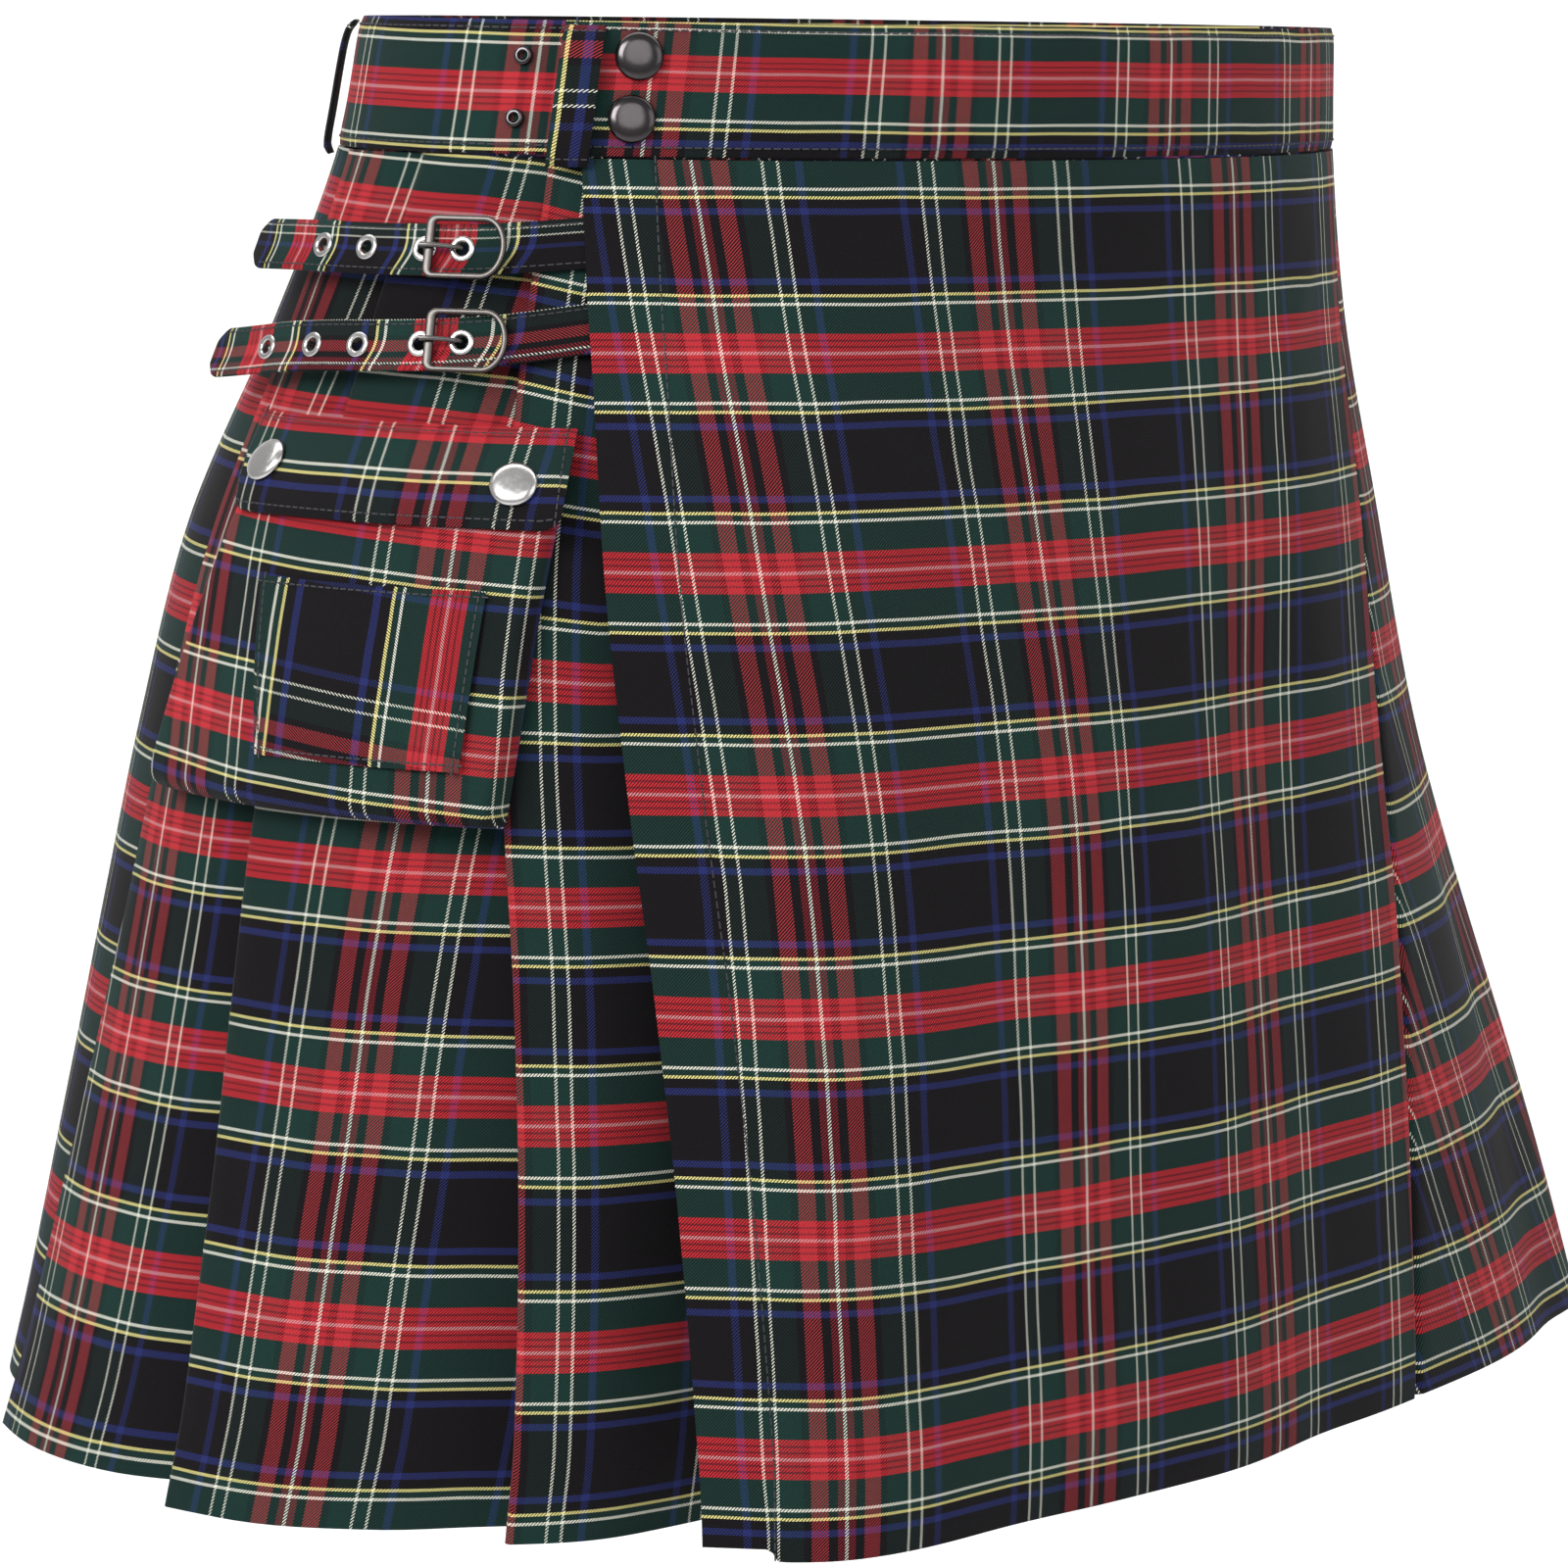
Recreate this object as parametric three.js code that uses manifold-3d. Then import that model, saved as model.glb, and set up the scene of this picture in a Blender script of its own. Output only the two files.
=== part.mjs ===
// Utility kilt as worn: an open, hollow skirt of tartan cloth that wraps round the waist.
// Millimetres, +Z up. The wearer faces -Y and the wearer's left is +X.
// The origin is the middle of the waistband's height, on the waist's axis.
//
// Every cloth piece is a thin wall on one body form. The form is a stack of rings, and a place on it
// is given by an angle (0 is the front, 90 the wearer's left, 180 the back), a drop below the
// waistband's top edge, and a level: how far the place stands out from the ring.
import * as THREE from 'three';
import { mergeVertices } from 'three/addons/utils/BufferGeometryUtils.js';
import Module from 'manifold-3d';

const wasm = await Module();
wasm.setup();

// ---------------------------------------------------------------- driving sizes
const BAND_HEIGHT = 45;
const LENGTH = 497;
const SEAM_GAP = 0.3;
const CLOTH = 2.0;
const BAND_CLOTH = 3.8;
const LAYER = 4.6;
const FOLD = 2.6;

// The body form, a row for each ring. Drop is below the waistband's top edge.
const RINGS = [
  { drop: 0, half: 212, front: 132, back: 124, shift: 0 },
  { drop: 45, half: 217, front: 137, back: 126, shift: -5 },
  { drop: 110, half: 230, front: 151, back: 155, shift: -14 },
  { drop: 180, half: 247, front: 176, back: 195, shift: -22 },
  { drop: 252, half: 260, front: 200, back: 215, shift: -25 },
  { drop: 322, half: 274, front: 220, back: 232, shift: -22 },
  { drop: 393, half: 292, front: 232, back: 243, shift: -16 },
  { drop: 464, half: 313, front: 239, back: 247, shift: -10 },
  { drop: 497, half: 325, front: 241, back: 245, shift: -8 },
];

// How far the front sways off its rings at the hem: the apron's free corner swings out, and the
// middle of the apron hangs flat behind it.
const SWAY = [
  { angle: -75, out: 0 },
  { angle: -55, out: 6 },
  { angle: -42, out: 16 },
  { angle: -30, out: 24 },
  { angle: -14, out: 2 },
  { angle: 4, out: -15 },
  { angle: 20, out: -18 },
  { angle: 40, out: -8 },
  { angle: 60, out: 0 },
];
const SWAY_START = 60;

// The apron's free edge and its far folded edge, as angles.
const APRON_EDGES = [
  { drop: 45, open: -56, fold: 54 },
  { drop: 131, open: -50, fold: 47 },
  { drop: 220, open: -46.5, fold: 38.5 },
  { drop: 340, open: -43.5, fold: 28 },
  { drop: 420, open: -41.5, fold: 23 },
  { drop: 497, open: -39.5, fold: 19.5 },
];

// The outer folds of the knife pleats, from the wearer's left hip round the back to the right hip.
// An angle above 180 is past the middle of the back.
const PLEATS = [
  { top: 74, hem: 70 },
  { top: 99, hem: 91 },
  { top: 124, hem: 111 },
  { top: 145, hem: 135 },
  { top: 163, hem: 152 },
  { top: 180, hem: 173 },
  { top: 197, hem: 189 },
  { top: 215, hem: 211 },
  { top: 236, hem: 231 },
  { top: 261, hem: 257 },
  { top: 281, hem: 279 },
  { top: 300, hem: 308 },
];
const LEFT_PLEATS = 4;
const BACK_PLEATS = 8;

// How a pleat opens as it hangs: its depth from outer to inner fold, the width folded under, and
// how far the under apron lies below the outer layer.
const PLEAT_HANG = [
  { drop: 45, depth: 5.4, lap: 13, under: 0 },
  { drop: 110, depth: 6, lap: 14, under: 3 },
  { drop: 180, depth: 8, lap: 15, under: 7 },
  { drop: 252, depth: 13, lap: 16, under: 13 },
  { drop: 322, depth: 19, lap: 17, under: 19 },
  { drop: 393, depth: 25, lap: 18, under: 25 },
  { drop: 464, depth: 30, lap: 19, under: 30 },
  { drop: 497, depth: 33, lap: 20, under: 33 },
];
// The curve of a pleat's face: part of the way across, and part of the depth it has sunk. The last
// face, beside the apron's free edge, falls away sooner.
const FACE_CURVE = [
  { across: 0, sunk: 0, last: 0 },
  { across: 0.3, sunk: 0.08, last: 0.24 },
  { across: 0.62, sunk: 0.36, last: 0.66 },
  { across: 0.86, sunk: 0.76, last: 0.93 },
  { across: 1, sunk: 0.96, last: 1 },
];
// Toward the hem the outer folds stand proud of the form by a share of the pleat's depth.
const CREST = 0.36;
const CREST_START = 150;

// The open pleat beside the apron's folded edge. Its cloth lies under the edge, comes up level with
// the apron once it is past it, and sinks below the first knife pleat.
const BESIDE = { tuck: 24, clear: 1.5, rise: 7, level: 1.2 };
const BESIDE_CURVE = [
  { across: 0.3, level: 0.5, sunk: 0 },
  { across: 0.6, level: 0, sunk: 0 },
  { across: 0.84, level: 0, sunk: 0.4 },
  { across: 1, level: 0, sunk: 0.96 },
];

// The waistband is one strip, wound once and a quarter. It starts on the outside and moves in by a
// layer on its way round the back.
const BAND_START = -60.2;
const BAND_END = 398;
const BAND_ROWS = [0, 15, 30, 45];
const BAND_COLUMNS = 66;
const STEPS_IN = [
  { from: 80, to: 150, by: LAYER },
  { from: 250, to: 290, by: 0.4 },
];

const UNDER_APRON = { startTop: 319, startHem: 327, endTop: 396, endHem: 382, columns: 14 };
const APRON = { columns: 26, underside: 26, strip: 25, notch: 1, lift: 4 };

// Belt loops, at wrap angles.
const LOOPS = [-57.5, 116, 180, 244];
const LOOP = { width: 14, top: 1.5, bottom: 48.5, cloth: 1.8, bow: 3.2 };
const LOOP_CURVE = [
  { down: 0, out: 0 },
  { down: 0.08, out: 0.7 },
  { down: 0.3, out: 1 },
  { down: 0.7, out: 1 },
  { down: 0.92, out: 0.7 },
  { down: 1, out: 0 },
];

// Straps, from the free end to the end sewn under the apron. Level is to the middle of the cloth.
const STRAP = { width: 17, cloth: 2.0, columns: 24, tipGap: 2 };
const STRAPS = {
  upper: {
    path: [
      { angle: -106, drop: 79, level: 12 },
      { angle: -103, drop: 78.8, level: 10 },
      { angle: -99, drop: 78.4, level: 7.6 },
      { angle: -94, drop: 78, level: 5.4 },
      { angle: -88, drop: 77.8, level: 3.8 },
      { angle: -80, drop: 77.6, level: 2.6 },
      { angle: -72, drop: 77.3, level: 1.9 },
      { angle: -66, drop: 76.7, level: 1.2 },
      { angle: -61, drop: 75.7, level: -0.4 },
      { angle: -56, drop: 74.5, level: -3.2 },
      { angle: -53, drop: 73.8, level: -3.3 },
      { angle: -50.5, drop: 73.2, level: -3.3 },
    ],
    eyelets: [-68, -73, -81.8, -89.8],
    buckle: { angle: -67.4, settle: 0.1 },
  },
  lower: {
    path: [
      { angle: -107, drop: 117.6, level: 12.5 },
      { angle: -103, drop: 116.4, level: 9.8 },
      { angle: -98, drop: 114.6, level: 7.2 },
      { angle: -92, drop: 112.4, level: 4.8 },
      { angle: -85, drop: 110.8, level: 3.7 },
      { angle: -78, drop: 109.8, level: 3.1 },
      { angle: -70, drop: 108.6, level: 2.4 },
      { angle: -63, drop: 107, level: 1.4 },
      { angle: -58, drop: 105, level: -0.8 },
      { angle: -53.5, drop: 103, level: -3.2 },
      { angle: -50, drop: 101.4, level: -3.3 },
      { angle: -47.5, drop: 100.4, level: -3.3 },
    ],
    eyelets: [-65.5, -70.5, -79, -86.4, -94.9],
    buckle: { angle: -64.8, settle: 0.4 },
  },
};
// The rounded free end: the distance from the tip, and how much narrower each side is there.
const STRAP_TIP = [
  { back: 0, narrow: 5.5 },
  { back: 1.2, narrow: 3.0 },
  { back: 3.2, narrow: 1.0 },
  { back: 6, narrow: 0 },
];
const EYELET = { hole: 2.3, barrel: 2.9, brim: 4.5, cut: 3.2, rise: 0.8, bevel: 0.45, foot: 0.1 };
const BUCKLE = {
  length: 29, height: 22, wire: 2.4, bar: 4.2, thick: 2.2, corner: 4, chamfer: 1, round: 0.75,
};
const PRONG = { width: 1.6, thick: 1.5, grip: 1.2, bend: 0.6, dip: 0.8, point: 1.5, slope: 1.4 };

// Pocket, patch and flap: rear and front edges at their tops, and how many degrees each leans
// toward the front on the way down.
const POCKET = {
  rear: -93.2, rearLean: -3.8, front: -52.4, frontLean: -3.6, top: 160, bottom: 264,
  gusset: 3.2, cloth: 1.8, columns: 12,
};
const POCKET_ROWS = [160, 178, 200, 225, 245, 260.8, 264];
const GUSSET_RISE = [0, 0.75, 1];
const POCKET_PUFF = [
  { drop: 160, out: 6 },
  { drop: 190, out: 9 },
  { drop: 225, out: 12 },
  { drop: 258, out: 13 },
];
const PATCH = {
  rear: -83.6, rearLean: 4, front: -58.1, frontLean: -1.1, top: 187, bottom: 245,
  cloth: 1.2, rows: 4, columns: 6,
};
const FLAP = {
  rear: -96.5, rearLean: 5, front: -51.6, frontLean: -0.4, top: 135, bottom: 167,
  cloth: 2.0, corner: 4, columns: 15,
};
// The flap leaves the skirt above the pocket and hangs over the pocket's mouth.
const FLAP_CURVE = [
  { down: 0, over: 0 },
  { down: 0.25, over: 0.35 },
  { down: 0.55, over: 0.8 },
  { down: 0.8, over: 1 },
  { down: 1, over: 1 },
];

// Snap caps and studs are turned: distance out as a share of the radius, height as a share of the rise.
const SNAP = { radius: 8.2, rise: 2.6 };
const SNAP_PROFILE = [
  { out: 0, up: 0 },
  { out: 1, up: 0 },
  { out: 1, up: 0.3 },
  { out: 0.86, up: 0.72 },
  { out: 0.5, up: 0.95 },
  { out: 0, up: 1 },
];
const STUD = { radius: 3.3, rise: 1.6 };
const STUD_PROFILE = [
  { out: 0.48, up: 0 },
  { out: 1, up: 0 },
  { out: 0.88, up: 1 },
  { out: 0.6, up: 1 },
  { out: 0.48, up: 0 },
];
const WAIST_SNAPS = { angle: -50.8, drops: [11.5, 32.5] };
const WAIST_STUDS = { angle: -65.5, drops: [12, 33] };
const FLAP_SNAPS = [{ angle: -88.7, drop: 151 }, { angle: -56.9, drop: 153.5 }];

const ROUND = 14;
const BEND_STEPS = 6;
const MITRE_LIMIT = 0.6;

// ---------------------------------------------------------------- materials
const cloth = () => new THREE.MeshStandardMaterial({ color: 0x2b2a33, roughness: 0.85, metalness: 0 });
const redCloth = () => new THREE.MeshStandardMaterial({ color: 0x8c2a30, roughness: 0.85, metalness: 0 });
const darkSteel = () => new THREE.MeshStandardMaterial({ color: 0x55504e, roughness: 0.3, metalness: 1 });
const steel = () => new THREE.MeshStandardMaterial({ color: 0xa8a5a2, roughness: 0.3, metalness: 1 });

// ---------------------------------------------------------------- small helpers
const radians = THREE.MathUtils.degToRad;
const clamp = THREE.MathUtils.clamp;
const mix = THREE.MathUtils.lerp;
const span = (count, from, to) =>
  Array.from({ length: count }, (_, i) => mix(from, to, i / (count - 1)));

// A value from a table, on a smooth curve through its rows.
function readTable(table, by, name, at) {
  const last = table.length - 1;
  const x = clamp(at, table[0][by], table[last][by]);
  let i = 0;
  while (i < last - 1 && x > table[i + 1][by]) i += 1;
  const slope = (k) => {
    const a = table[Math.max(k - 1, 0)];
    const b = table[Math.min(k + 1, last)];
    return (b[name] - a[name]) / (b[by] - a[by]);
  };
  const width = table[i + 1][by] - table[i][by];
  const t = (x - table[i][by]) / width;
  const ease = t * t * (3 - 2 * t);
  const bend = t * (1 - t) * width;
  return mix(table[i][name], table[i + 1][name], ease)
    + bend * ((1 - t) * slope(i) - t * slope(i + 1));
}

const frontAngle = (angle) => ((((angle + 180) % 360) + 360) % 360) - 180;

// A place on the body form. Hidden cloth takes only a share of the front's sway.
function place(angle, drop, level, swayShare = 1) {
  const half = readTable(RINGS, 'drop', 'half', drop);
  const turn = radians(angle);
  const depth = readTable(RINGS, 'drop', Math.cos(turn) > 0 ? 'front' : 'back', drop);
  const shift = readTable(RINGS, 'drop', 'shift', drop);
  const normal = new THREE.Vector3(Math.sin(turn) / half, -Math.cos(turn) / depth, 0).normalize();
  const swing = swayShare * clamp((drop - SWAY_START) / (LENGTH - SWAY_START), 0, 1);
  const out = level + swing * readTable(SWAY, 'angle', 'out', frontAngle(angle));
  return new THREE.Vector3(
    shift + half * Math.sin(turn),
    -depth * Math.cos(turn),
    BAND_HEIGHT / 2 - drop,
  ).addScaledVector(normal, out);
}

// Degrees that a width spans along the form at an angle and drop.
const degreesFor = (width, angle, drop) =>
  width / place(angle, drop, 0).distanceTo(place(angle + 1, drop, 0));

// The level of the waistband's outer skin at a wrap angle. The cloth below hangs from it.
const layerLevel = (wrap) =>
  -STEPS_IN.reduce((sum, s) => sum + s.by * THREE.MathUtils.smoothstep(wrap, s.from, s.to), 0);

// The outward normal of one face of a grid.
function faceNormal(grid, r, c) {
  const across = new THREE.Vector3()
    .subVectors(grid[r][c + 1], grid[r][c])
    .add(grid[r + 1][c + 1])
    .sub(grid[r + 1][c]);
  const down = new THREE.Vector3()
    .subVectors(grid[r + 1][c], grid[r][c])
    .add(grid[r + 1][c + 1])
    .sub(grid[r][c + 1]);
  return down.cross(across).normalize();
}

// The outward normal at a grid point, lengthened so that the walls on both sides keep their thickness.
function mitredNormal(grid, r, c) {
  const normals = [];
  for (const row of [r - 1, r]) {
    for (const column of [c - 1, c]) {
      const inside = grid[row] && grid[row + 1] && column >= 0 && column + 1 < grid[row].length;
      if (inside) normals.push(faceNormal(grid, row, column));
    }
  }
  const mean = normals.reduce((sum, n) => sum.add(n), new THREE.Vector3()).normalize();
  const lean = normals.reduce((sum, n) => sum + n.dot(mean), 0) / normals.length;
  return mean.divideScalar(Math.max(lean, MITRE_LIMIT));
}

// A closed wall on a grid of middle points. Its rows run down, and its columns run round the body,
// so the outer skin faces away from the wearer. Corners are mitred.
function wall(grid, thickness) {
  const rows = grid.length;
  const columns = grid[0].length;
  const points = [];
  for (const side of [1, -1]) {
    for (let r = 0; r < rows; r += 1) {
      for (let c = 0; c < columns; c += 1) {
        const offset = mitredNormal(grid, r, c).multiplyScalar(side * thickness / 2);
        points.push(offset.add(grid[r][c]));
      }
    }
  }
  const inner = rows * columns;
  const at = (r, c) => r * columns + c;
  const faces = [];
  const quad = (a, b, c, d) => faces.push(a, b, c, a, c, d);
  for (let r = 0; r < rows - 1; r += 1) {
    for (let c = 0; c < columns - 1; c += 1) {
      quad(at(r, c), at(r + 1, c), at(r + 1, c + 1), at(r, c + 1));
      quad(inner + at(r, c), inner + at(r, c + 1), inner + at(r + 1, c + 1), inner + at(r + 1, c));
    }
  }
  for (let c = 0; c < columns - 1; c += 1) {
    quad(at(0, c), at(0, c + 1), inner + at(0, c + 1), inner + at(0, c));
    const r = rows - 1;
    quad(at(r, c + 1), at(r, c), inner + at(r, c), inner + at(r, c + 1));
  }
  for (let r = 0; r < rows - 1; r += 1) {
    quad(at(r + 1, 0), at(r, 0), inner + at(r, 0), inner + at(r + 1, 0));
    const c = columns - 1;
    quad(at(r, c), at(r + 1, c), inner + at(r + 1, c), inner + at(r, c));
  }
  const positions = points.flatMap((p) => p.toArray());
  const geometry = new THREE.BufferGeometry();
  geometry.setAttribute('position', new THREE.Float32BufferAttribute(positions, 3));
  geometry.setIndex(faces);
  return geometry;
}

const kilt = new THREE.Group();

function add(name, geometry, material, parent = kilt) {
  const mesh = new THREE.Mesh(geometry, material);
  mesh.name = name;
  parent.add(mesh);
  return mesh;
}

// A group that sits on a surface of the form: X runs round the body, Y up, Z out. The surface gives
// the level at an angle and drop, and the group stands clear of it by the last value.
function seat(surface, angle, drop, clear) {
  const at = (a, d) => place(a, d, surface(a, d));
  const across = at(angle + 1, drop).sub(at(angle - 1, drop)).normalize();
  const up = at(angle, drop - 1).sub(at(angle, drop + 1));
  const out = new THREE.Vector3().crossVectors(across, up).normalize();
  up.crossVectors(out, across);
  const group = new THREE.Group();
  group.position.copy(at(angle, drop)).addScaledVector(out, clear);
  group.quaternion.setFromRotationMatrix(new THREE.Matrix4().makeBasis(across, up, out));
  kilt.add(group);
  return group;
}

// ---------------------------------------------------------------- waistband
function waistband() {
  const turns = span(BAND_COLUMNS, BAND_START, BAND_END);
  const grid = BAND_ROWS.map((drop) =>
    turns.map((wrap) => place(wrap, drop, layerLevel(wrap) - BAND_CLOTH / 2)));
  add('waistband', wall(grid, BAND_CLOTH), redCloth());
}

// ---------------------------------------------------------------- skirt
// The skirt's top edge clears the waistband's lower edge, which slants with the body.
const SKIRT_TOP = BAND_HEIGHT + 3 * SEAM_GAP;
const SKIRT_ROWS = [SKIRT_TOP, 76, 110, 145, 180, 216, 252, 322, 393, 464, LENGTH];

const down = (drop) => (drop - BAND_HEIGHT) / (LENGTH - BAND_HEIGHT);
const hang = (name, drop) => readTable(PLEAT_HANG, 'drop', name, drop);
const apronEdge = (name, drop) => readTable(APRON_EDGES, 'drop', name, drop);
const foldAngle = (i, drop) => mix(PLEATS[i].top, PLEATS[i].hem, down(drop));
const crest = (drop) =>
  CREST * hang('depth', drop) * THREE.MathUtils.smoothstep(drop, CREST_START, LENGTH);

// Middle of the cloth at a wrap angle and drop, for a depth below the outer layer.
const clothAt = (wrap, drop, depth) =>
  place(wrap, drop, layerLevel(wrap) + crest(drop) - CLOTH / 2 - depth);

// The apron's far edge is folded under. Its free edge is a narrow strip whose hem is a little higher.
function frontApron() {
  const grid = SKIRT_ROWS.map((drop) => {
    const open = apronEdge('open', drop);
    const fold = apronEdge('fold', drop);
    const stripEnd = open + degreesFor(APRON.strip, open, drop);
    const panelStart = stripEnd + degreesFor(APRON.notch, open, drop);
    const lift = drop === LENGTH ? APRON.lift : 0;
    const strip = span(3, open, stripEnd)
      .map((angle) => place(angle, drop - lift, -CLOTH / 2));
    const panel = span(APRON.columns, panelStart, fold)
      .map((angle) => place(angle, drop, -CLOTH / 2));
    const underside = span(3, fold, fold - degreesFor(APRON.underside, fold, drop))
      .map((angle) => place(angle, drop, -CLOTH / 2 - FOLD));
    return [...strip, ...panel, ...underside];
  });
  add('front_apron', wall(grid, CLOTH), cloth());
}

// One knife pleat: its face sinks from the outer fold to below the next fold, turns there, and
// comes back under that fold.
function pleatPoints(i, drop) {
  const from = foldAngle(i, drop);
  const to = foldAngle(i + 1, drop);
  const depth = hang('depth', drop);
  const lap = degreesFor(hang('lap', drop), to, drop);
  const face = FACE_CURVE.map((f) => clothAt(mix(from, to, f.across), drop, f.sunk * depth));
  return [
    ...face,
    clothAt(to + lap, drop, depth),
    clothAt(to + lap, drop, depth - FOLD),
  ];
}

const outerFoldReturn = (i, drop) => clothAt(foldAngle(i, drop), drop, FOLD);

// The join between two lengths of cloth lies in the hidden return of a pleat.
function joinPoints(i, drop) {
  const fold = foldAngle(i, drop);
  const lap = degreesFor(hang('lap', drop), fold, drop);
  const deep = clothAt(fold + lap, drop, hang('depth', drop) - FOLD);
  const shallow = outerFoldReturn(i, drop);
  const middle = new THREE.Vector3().lerpVectors(deep, shallow, 0.5);
  const step = new THREE.Vector3().subVectors(shallow, deep).setLength(SEAM_GAP / 2);
  return { before: middle.clone().sub(step), after: middle.clone().add(step) };
}

function pleatRun(name, first, last, start, finish) {
  const grid = SKIRT_ROWS.map((drop) => {
    const points = start(drop);
    for (let i = first; i < last; i += 1) {
      points.push(...pleatPoints(i, drop));
      if (i + 1 < last) points.push(outerFoldReturn(i + 1, drop));
    }
    points.push(...finish(drop));
    return points;
  });
  add(name, wall(grid, CLOTH), cloth());
}

// The open pleat beside the apron, as far as the first knife pleat's outer fold.
function openPleat(drop) {
  const fold = apronEdge('fold', drop);
  const to = foldAngle(0, drop);
  const depth = hang('depth', drop);
  const under = 2 * FOLD + SEAM_GAP;
  const past = (width) => fold + degreesFor(width, fold, drop);
  const lap = degreesFor(hang('lap', drop), to, drop);
  const shape = [
    { wrap: past(-BESIDE.tuck), depth: under },
    { wrap: past(BESIDE.clear), depth: under },
    { wrap: past(BESIDE.rise), depth: BESIDE.level },
    ...BESIDE_CURVE.map((b) => ({
      wrap: mix(fold, to, b.across),
      depth: b.level + b.sunk * depth,
    })),
  ];
  return [
    ...shape.map((s) => place(s.wrap, drop, -CLOTH / 2 - s.depth)),
    clothAt(to + lap, drop, depth),
    clothAt(to + lap, drop, depth - FOLD),
    outerFoldReturn(0, drop),
  ];
}

function pleatedLength() {
  const before = (i) => (drop) => [joinPoints(i, drop).before];
  const after = (i) => (drop) => [joinPoints(i, drop).after, outerFoldReturn(i, drop)];
  pleatRun('pleats_left', 0, LEFT_PLEATS, openPleat, before(LEFT_PLEATS));
  pleatRun('pleats_back', LEFT_PLEATS, BACK_PLEATS, after(LEFT_PLEATS), before(BACK_PLEATS));
  pleatRun('pleats_right', BACK_PLEATS, PLEATS.length - 1, after(BACK_PLEATS), lastFace);
}

// The last pleat's face runs in under the apron, down to the level of the under apron, which hangs
// straight and doesn't sway.
const underStart = (drop) => mix(UNDER_APRON.startTop, UNDER_APRON.startHem, down(drop));
const underEnd = (drop) => mix(UNDER_APRON.endTop, UNDER_APRON.endHem, down(drop));

function lastFace(drop) {
  const last = PLEATS.length - 1;
  const from = foldAngle(last, drop);
  const to = underStart(drop) - degreesFor(3 * SEAM_GAP, underStart(drop), drop);
  const face = FACE_CURVE.map((f) => {
    const wrap = mix(from, to, f.across);
    const level = layerLevel(wrap) - CLOTH / 2 - f.last * hang('under', drop);
    return place(wrap, drop, level, 1 - f.across);
  });
  return [place(from, drop, layerLevel(from) - CLOTH / 2 - FOLD), ...face];
}

function underApron() {
  const grid = SKIRT_ROWS.map((drop) =>
    span(UNDER_APRON.columns, underStart(drop), underEnd(drop)).map((wrap) =>
      place(wrap, drop, layerLevel(wrap) - CLOTH / 2 - hang('under', drop), 0)));
  add('under_apron', wall(grid, CLOTH), cloth());
}

// ---------------------------------------------------------------- belt loops
function beltLoops() {
  LOOPS.forEach((wrap, i) => {
    const half = degreesFor(LOOP.width / 2, wrap, 0);
    const base = layerLevel(wrap) + SEAM_GAP + LOOP.cloth / 2;
    const grid = LOOP_CURVE.map((l) => span(3, wrap - half, wrap + half).map((turn) =>
      place(turn, mix(LOOP.top, LOOP.bottom, l.down), base + l.out * LOOP.bow)));
    add(`belt_loop_${i + 1}`, wall(grid, LOOP.cloth), cloth());
  });
}

// ---------------------------------------------------------------- straps and buckles
const strapDrop = (strap, angle) => readTable(strap.path, 'angle', 'drop', angle);
const strapLevel = (strap, angle) => readTable(strap.path, 'angle', 'level', angle);

function strapWall(strap) {
  const tip = strap.path[0].angle;
  const root = strap.path[strap.path.length - 1].angle;
  const tipColumns = STRAP_TIP.map((t) => ({
    angle: tip + degreesFor(t.back, tip, strapDrop(strap, tip)),
    half: STRAP.width / 2 - t.narrow,
  }));
  const straightStart = tipColumns[tipColumns.length - 1].angle + STRAP.tipGap;
  const straight = span(STRAP.columns, straightStart, root)
    .map((angle) => ({ angle, half: STRAP.width / 2 }));
  const columns = [...tipColumns, ...straight];
  const grid = [-1, 0, 1].map((side) => columns.map((c) =>
    place(c.angle, strapDrop(strap, c.angle) + side * c.half, strapLevel(strap, c.angle))));
  return wall(grid, STRAP.cloth);
}

function toSolid(geometry) {
  const bare = geometry.clone();
  bare.deleteAttribute('normal');
  bare.deleteAttribute('uv');
  const merged = mergeVertices(bare);
  return new wasm.Manifold(new wasm.Mesh({
    numProp: 3,
    vertProperties: new Float32Array(merged.attributes.position.array),
    triVerts: new Uint32Array(merged.index.array),
  }));
}

function fromSolid(solid) {
  const mesh = solid.getMesh();
  const geometry = new THREE.BufferGeometry();
  geometry.setAttribute('position', new THREE.BufferAttribute(mesh.vertProperties, mesh.numProp));
  geometry.setIndex(new THREE.BufferAttribute(mesh.triVerts, 1));
  return geometry;
}

const onStrap = (strap, angle, clear) =>
  seat((a) => strapLevel(strap, a), angle, strapDrop(strap, angle), clear);

function holePunch(group) {
  const punch = new THREE.CylinderGeometry(EYELET.cut, EYELET.cut, STRAP.cloth * 4, ROUND);
  punch.rotateX(Math.PI / 2);
  group.updateMatrixWorld(true);
  return punch.applyMatrix4(group.matrixWorld);
}

function turned(profile) {
  const points = profile.map(([out, up]) => new THREE.Vector2(out, up));
  return new THREE.LatheGeometry(points, ROUND).rotateX(Math.PI / 2);
}

// An eyelet's barrel goes through the strap, and its brim lies on the outside.
function eyeletGeometry() {
  const { hole, barrel, brim, rise, bevel, foot } = EYELET;
  const bottom = foot - STRAP.cloth / 2;
  const seatLevel = STRAP.cloth / 2 + SEAM_GAP;
  const top = seatLevel + rise;
  return turned([
    [hole, bottom],
    [barrel, bottom],
    [barrel, seatLevel],
    [brim, seatLevel],
    [brim - bevel, top],
    [hole + bevel, top],
    [hole, bottom],
  ]);
}

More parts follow.
